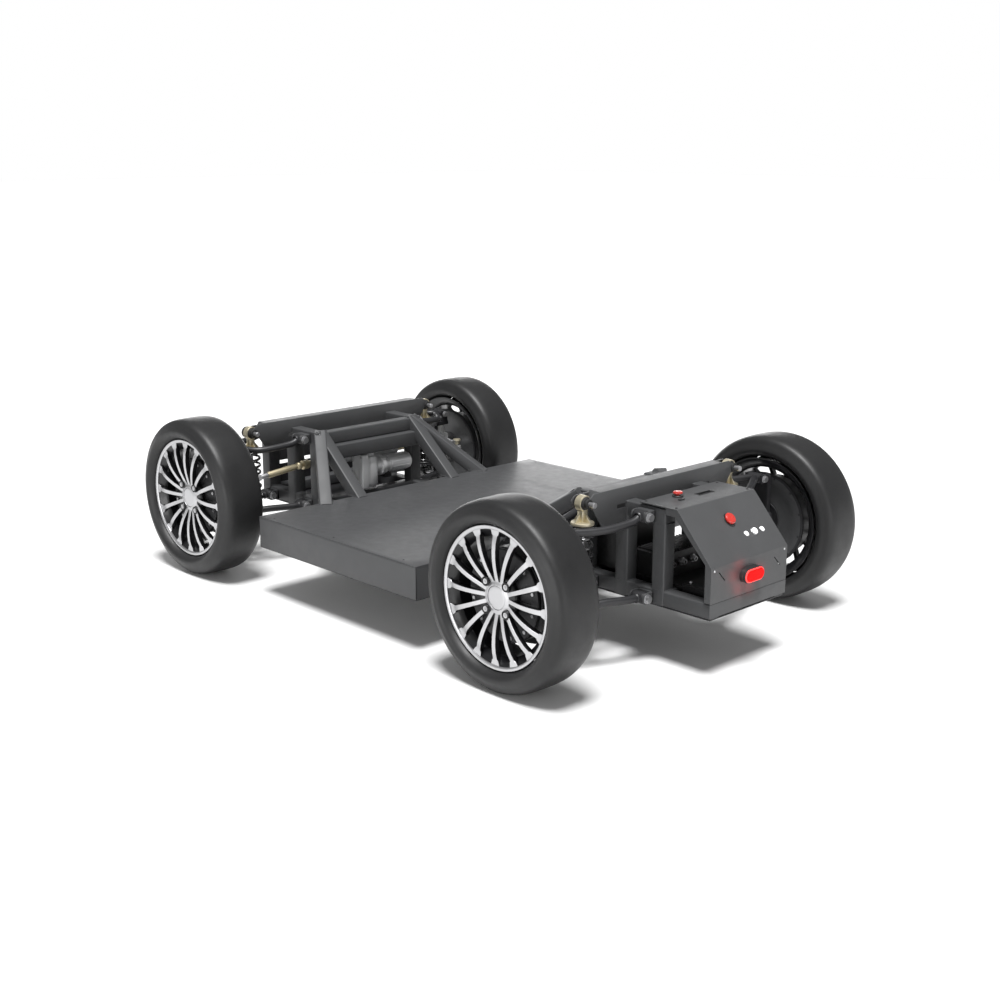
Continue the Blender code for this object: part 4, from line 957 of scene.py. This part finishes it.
def fold(points, radius, offset):
    """A profile of a folded sheet that bends to its left: its bends rounded, moved inwards by offset."""
    points = [Vector(p) for p in points]
    ways = [(after - before).normalized() for before, after in zip(points, points[1:])]
    lefts = [Vector((-way.y, way.x)) for way in ways]
    result = [points[0] + lefts[0] * offset]
    for i, corner_point in enumerate(points[1:-1]):
        turn = ways[i].angle(ways[i + 1])
        centre = corner_point - ways[i] * radius * tan(turn / 2) + lefts[i] * radius
        for k in range(6):
            result.append(centre - Matrix.Rotation(turn * k / 5, 2) @ lefts[i] * (radius - offset))
    return result + [points[-1] + lefts[-1] * offset]


def console():
    """The folded cover with its holes, and the flanges, seal, screws and recess that belong to it."""
    profile = [(-0.770, TOP_Z), (TOP_X, TOP_Z), (FOOT_X, FOOT_Z), (FOOT_X, 0.2012)]
    outside, inside = fold(profile, 0.006, 0.0), fold(profile, 0.006, SHEET)
    outline = [tuple(p) for p in outside] + [tuple(p) for p in reversed(inside)]
    skin = Piece()
    skin.add(plate(outline, 1, -CONSOLE_HALF, CONSOLE_HALF, 0.0005, 1), PANEL)
    holes = [rod((ESTOP_X, ESTOP_Y, 0.40), (ESTOP_X, ESTOP_Y, 0.44), 0.0100, 32)]
    for along, across, radius in ((KNOB_DOWN, 0.0, 0.0135), (LIGHTS_DOWN, BUTTON_Y, 0.0060)):
        holes.append(rod(on_slope(along, across, -0.02), on_slope(along, across, 0.02), radius, 32))
    for y, z in ((0.1165, 0.2670), (-0.1165, 0.2600)):
        a, b = Vector((y + 0.0130, z + 0.0130)), Vector((y - 0.0130, z - 0.0130))
        across = Vector((-(b - a).y, (b - a).x)).normalized() * 0.0016
        quad = [a + across, b + across, b - across, a - across]
        holes.append(plate([tuple(p) for p in quad], 0, FOOT_X - 0.01, FOOT_X + 0.012, 0))
    (back, ahead), (right, left) = RECESS_X, RECESS_Y
    holes.append(plate([(back, right), (ahead, right), (ahead, left), (back, left)], 2, 0.41, 0.44, 0))
    skin.finish("console_cover", "chassis", "cover_paint", ["console_shell"], tools=holes)
    trim = Piece()
    for side in (-1, 1):
        flange = mm((-855, 423.5), (-893.5, 423.5), (-1006, 295), (-1006, 202.5), (-986.5, 202.5),
                    (-986.5, 300), (-885, 404.5), (-855, 404.5))
        low, high = sorted((side * (CONSOLE_HALF - 0.0006), side * (CONSOLE_HALF - SHEET)))
        trim.add(plate(flange, 1, low, high, 0.0006, 1), PANEL)
    trim.add(block((FOOT_X, -CONSOLE_HALF, 0.164), (FOOT_X + SHEET, CONSOLE_HALF, 0.2000), 0.0008), PANEL)
    seal = CONSOLE_HALF - 0.001
    trim.add(block((FOOT_X + 0.0008, -seal, 0.1985), (FOOT_X + SHEET, seal, 0.2030), 0.0004), DARK_PLASTIC)
    for y in (-0.147, 0.147):
        trim.add(lathe(mm((0, 0), (3, 0), (2.8, 1), (1.8, 1.6), (0, 1.7)),
                       (FOOT_X, y, 0.2860), (-1, 0, 0), 20), CAST)
        for x in (-0.780, -0.880):
            trim.add(lathe(mm((0, 0), (4, 0), (3.8, 1), (2.2, 1.7), (0, 1.8)),
                           (x, y, TOP_Z), (0, 0, 1), 20), DARK_PLASTIC)
    trim.add(block((back - 0.004, right - 0.004, TOP_Z - 0.016), (ahead + 0.004, left + 0.004, TOP_Z - 0.0135),
                   0.0006), DARK_PLASTIC)
    for x, y in ((RECESS_X, (right, right)), (RECESS_X, (left, left)), ((back, back), RECESS_Y),
                 ((ahead, ahead), RECESS_Y)):
        low, high = (x[0] - 0.0015, y[0] - 0.0015, TOP_Z - 0.015), (x[1] + 0.0015, y[1] + 0.0015, TOP_Z + 0.0012)
        trim.add(block(low, high, 0.0005), DARK_PLASTIC)
    trim.add(block((-0.839, 0.062, TOP_Z), (-0.831, 0.082, TOP_Z + 0.0030), 0.0008), DARK_PLASTIC)
    trim.finish("console_trim", "chassis", "cover_paint")


def ring_on(centre, out, inner, outer, height, segments=40):
    profile = [(inner, -0.0005), (outer, -0.0005), (outer, height * 0.6), (outer - height * 0.5, height),
               (inner + height * 0.3, height), (inner, height * 0.7)]
    return lathe(profile, centre, out, segments)


def console_controls():
    """The emergency stop, the red knob, the two round lights and the button between them."""
    estop = (ESTOP_X, ESTOP_Y, TOP_Z)
    collar = mm((6.8, 0.3), (14.8, 0.3), (14.9, 3), (14, 4), (13, 4.4), (6.8, 4.4))
    base = Piece().add(lathe(collar, estop, (0, 0, 1), 48), DARK_PLASTIC)
    base.finish("estop_collar", "chassis", "cast_grey", ["estop_base"])
    mushroom = mm((0, -5), (5.6, -5), (5.6, 8.3), (12, 8.4), (12.9, 9.2), (12.8, 11.4), (11.8, 13.4),
                  (8.5, 14.3), (0, 14.5))
    cap = Piece().add(lathe(mushroom, estop, (0, 0, 1), 56), RED)
    # The three white marks on the cap take the indicators' glowing white, so they glow though the cap holds no
    # lamp: painted light.
    for k in range(3):
        a = tau * k / 3
        centre = Vector((ESTOP_X + 0.0062 * cos(a), ESTOP_Y + 0.0062 * sin(a), TOP_Z + 0.0141))
        side_way = Vector((-sin(a), cos(a), 0)) * 0.0026
        cap.add(sweep([centre - side_way, centre + side_way], 0.0005, 8), WHITE_LIGHT)
    cap.finish("estop_mushroom", "estop_cap", "red_plastic", ["estop_cap"])
    knob = Piece()
    profile = mm((0, -10), (11.6, -10), (11.6, 4.7), (15.2, 4.7), (16.3, 5.6), (15.8, 8.6), (14, 10.4),
                 (8, 11.2), (0, 11.3))
    knob.add(lathe(profile, on_slope(KNOB_DOWN, 0.0), SLOPE_OUT, 48), RED)
    grip = [on_slope(KNOB_DOWN + along, 0.0, 0.0102) for along in (-0.012, 0.012)]
    knob.add(sweep(grip, 0.0026, 12), RED)
    knob.finish("stop_knob_cap", "stop_knob", "red_plastic", ["stop_knob"])
    rings = Piece()
    rings.add(ring_on(on_slope(KNOB_DOWN, 0.0), SLOPE_OUT, 0.0137, 0.0182, 0.0014), DARK_PLASTIC)
    rings.add(ring_on(on_slope(LIGHTS_DOWN, BUTTON_Y), SLOPE_OUT, 0.0091, 0.0108, 0.0022), STEEL)
    for across in LIGHT_Y:
        rings.add(ring_on(on_slope(LIGHTS_DOWN, across), SLOPE_OUT, 0.0064, 0.0084, 0.0022), STEEL)
    rings.finish("control_rings", "chassis", "cast_grey")
    lights = Piece()
    face = mm((0, -0.4), (6.4, -0.4), (6.4, 1.8), (5, 3.2), (0, 3.6))
    for across in LIGHT_Y:
        lights.add(lathe(face, on_slope(LIGHTS_DOWN, across), SLOPE_OUT, 36), WHITE_LIGHT)
    lights.finish("indicator_lights", "chassis", "white_button")
    button = Piece()
    face = mm((0, -10), (4.3, -10), (4.3, 3), (8.4, 3), (8.8, 4), (8.4, 5.2), (6.8, 5.9), (0, 6))
    button.add(lathe(face, on_slope(LIGHTS_DOWN, BUTTON_Y), SLOPE_OUT, 40), WHITE_LIGHT)
    button.finish("power_button_cap", "power_button", "white_button", ["power_button"])


def stadium(x, grow, steps=14):
    """The tail lamp's outline at one depth: two half circles and the straights between them."""
    ring = []
    for centre, start in ((LAMP_STRAIGHT, -pi / 2), (-LAMP_STRAIGHT, pi / 2)):
        for i in range(steps):
            angle = start + pi * i / (steps - 1)
            radius = LAMP_RADIUS + grow
            ring.append(Vector((x, LAMP_Y + centre + radius * cos(angle), LAMP_Z + radius * sin(angle))))
    return ring


def tail_lamp():
    back, tip = FOOT_X - 0.0003, -1.0298
    housing = ((back, 0.0), (back - 0.0080, 0.0), (back - 0.0090, -0.0010), (back - 0.0100, 0.0),
               (tip + 0.0062, 0.0), (tip + 0.0050, -0.0012))
    outline = ((tip + 0.0055, -0.0016), (tip + 0.0030, -0.0020), (tip + 0.0022, -0.0034))
    lens = ((tip + 0.0030, -0.0040), (tip + 0.0010, -0.0046), (tip, -0.0062))
    piece = Piece()
    for steps, finish in ((housing, DARK_PLASTIC), (outline, RED_GLOW), (lens, RED_LENS)):
        piece.add(loft([stadium(x, grow) for x, grow in steps]), finish)
    piece.finish("tail_lamp_lens", "chassis", "red_lens", ["tail_lamp"])


# ---------------------------------------------------------------- electronics in the rear frame
def controller_trim():
    """Cooling fins, cover screws and cable glands on the controller cases."""
    piece = Piece()
    for k in range(17):
        y = -0.096 + 0.012 * k
        piece.add(block((-0.652, y - 0.0016, 0.3238), (-0.410, y + 0.0016, 0.3330), 0.0006, 1), DARK_PLASTIC)
    for k in range(15):
        y = -0.084 + 0.012 * k
        piece.add(block((-0.795, y - 0.0014, 0.2718), (-0.705, y + 0.0014, 0.2780), 0.0005, 1), DARK_PLASTIC)
    for y in (-0.066, -0.022, 0.022, 0.066):
        gland = Vector((-0.800, y, 0.244))
        out = Vector((-1, 0, 0))
        piece.add(hexagon(gland, gland + out * 0.007, 0.0200), STEEL)
        sleeve = mm((4.5, 6.5), (8.2, 6.5), (8.2, 13), (6.6, 16), (4.5, 16))
        piece.add(lathe(sleeve, gland, out, 28), STEEL)
        piece.add(rod(gland + out * 0.006, gland + out * 0.0150, 0.0044, 16), BUSH_RUBBER)
    for y in (-0.080, 0.080):
        for x in (-0.975, -0.882):
            piece.add(hexagon((x, y, 0.2140), (x, y, 0.2180), 0.0090, 0.0008), STEEL)
        for z in (0.225, 0.305):
            piece.add(hexagon((-0.660, y, z), (-0.6635, y, z), 0.0090, 0.0008), STEEL)
    piece.add(block((-0.960, -0.045, 0.2138), (-0.900, 0.030, 0.2200), 0.0015), DARK_PLASTIC)
    piece.finish("controller_trim", "chassis", "pack_grey")


# ---------------------------------------------------------------- CAD nodes that stay, with better finishes
def carried_nodes():
    """Gives the CAD nodes that stay visible their finishes."""
    finishes = {"battery_pack": PACK, "motor_controller": DARK_PLASTIC, "steering_rack": OLIVE}
    for end, _ in ENDS:
        for name, _ in SIDES:
            finishes[f"{end}_{name}_carrier"] = ARM_BLACK
            finishes[f"{end}_{name}_motor_stator"] = STEEL
            if end == "front":
                finishes[f"{end}_{name}_knuckle"] = CAST
    for node, finish in finishes.items():
        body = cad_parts[node]
        for place in body.material_slots:
            place.material = finish


# ---------------------------------------------------------------- stage
WORLD_LIGHT, KEY_FROM, KEY_POWER, KEY_ANGLE = 0.28, (-0.75, 0.75, 4.0), 4.8, radians(18)
HALO_GAP, HALO_SIZE, HALO_POWER = 0.013, 0.030, 0.0045
LENS, SENSOR, CAMERA_PLACE = 51.2, 36.0, (-3.072 + SHIFT, 2.864, 1.327)
CAMERA_YAW, CAMERA_PITCH = radians(-43.8), radians(14.27)


def stage():
    """A pale floor, a dim even sky that looks white, a soft key light and three large fills."""
    mesh = bpy.data.meshes.new("floor")
    reach = 40.0
    corners = [(-reach, -reach, 0), (reach, -reach, 0), (reach, reach, 0), (-reach, reach, 0)]
    mesh.from_pydata(corners, [], [(0, 1, 2, 3)])
    mesh.materials.append(FLOOR)
    floor = bpy.data.objects.new("floor", mesh)
    bpy.context.scene.collection.objects.link(floor)
    world = bpy.data.worlds.new("studio")
    world.use_nodes = True
    tree = world.node_tree
    background = tree.nodes["Background"]
    background.inputs["Color"].default_value = (1.0, 1.0, 1.0, 1.0)
    rays = tree.nodes.new("ShaderNodeLightPath")
    strength = tree.nodes.new("ShaderNodeMapRange")
    strength.inputs["To Min"].default_value = WORLD_LIGHT
    strength.inputs["To Max"].default_value = 1.0
    tree.links.new(rays.outputs["Is Camera Ray"], strength.inputs["Value"])
    tree.links.new(strength.outputs["Result"], background.inputs["Strength"])
    bpy.context.scene.world = world
    bpy.context.scene.view_settings.view_transform = "Standard"
    key = bpy.data.lights.new("key", "SUN")
    key.energy = KEY_POWER
    key.angle = KEY_ANGLE
    aim(key, KEY_FROM, (0, 0, 0))
    for name, place, target, size, height, power in (
            ("far_softbox", (4.2, -3.6, 1.05), (0.0, 0.0, 0.25), 5.0, 1.4, 110.0),
            ("rear_fill", (-5.0, 0.6, 0.8), (-0.8, 0.0, 0.3), 2.4, 1.4, 26.0),
            ("left_fill", (-0.6, 4.6, 0.8), (0.0, 0.4, 0.3), 3.0, 1.4, 60.0)):
        lamp = bpy.data.lights.new(name, "AREA")
        lamp.shape = "RECTANGLE"
        lamp.size = size
        lamp.size_y = height
        lamp.energy = power
        aim(lamp, place, target).visible_camera = False
    for dy, dz in mm((56, 2), (36, -36), (36, 34), (-10, -38), (-52, -4)):
        halo = bpy.data.lights.new("lamp_halo", "AREA")
        halo.color = (1.0, 0.008, 0.004)
        halo.energy = HALO_POWER
        halo.size = HALO_SIZE
        place = Vector((FOOT_X - HALO_GAP + SHIFT, LAMP_Y + dy, LAMP_Z + dz))
        aim(halo, place, place + Vector((1, 0, 0))).visible_camera = False


def aim(lamp, place, target):
    light = bpy.data.objects.new(lamp.name, lamp)
    light.location = place
    light.rotation_euler = (Vector(target) - Vector(place)).to_track_quat("-Z", "Y").to_euler()
    bpy.context.scene.collection.objects.link(light)
    return light


def camera():
    data = bpy.data.cameras.new("camera")
    data.lens = LENS
    data.sensor_width = SENSOR
    made = bpy.data.objects.new("camera", data)
    made.location = CAMERA_PLACE
    level = cos(CAMERA_PITCH)
    forward = Vector((level * cos(CAMERA_YAW), level * sin(CAMERA_YAW), -sin(CAMERA_PITCH)))
    made.rotation_euler = forward.to_track_quat("-Z", "Y").to_euler()
    bpy.context.scene.collection.objects.link(made)
    bpy.context.scene.camera = made


camera()
stage()
deck()
for end_name, axle_x in ENDS:
    frame_body(end_name, axle_x)
    beam_body(end_name, axle_x)
    for side_name, side_sign in SIDES:
        corner(end_name, axle_x, side_name, side_sign)
steering_unit()
for side_name, side_sign in SIDES:
    tie_rod(side_name, side_sign)
console()
console_controls()
tail_lamp()
controller_trim()
carried_nodes()
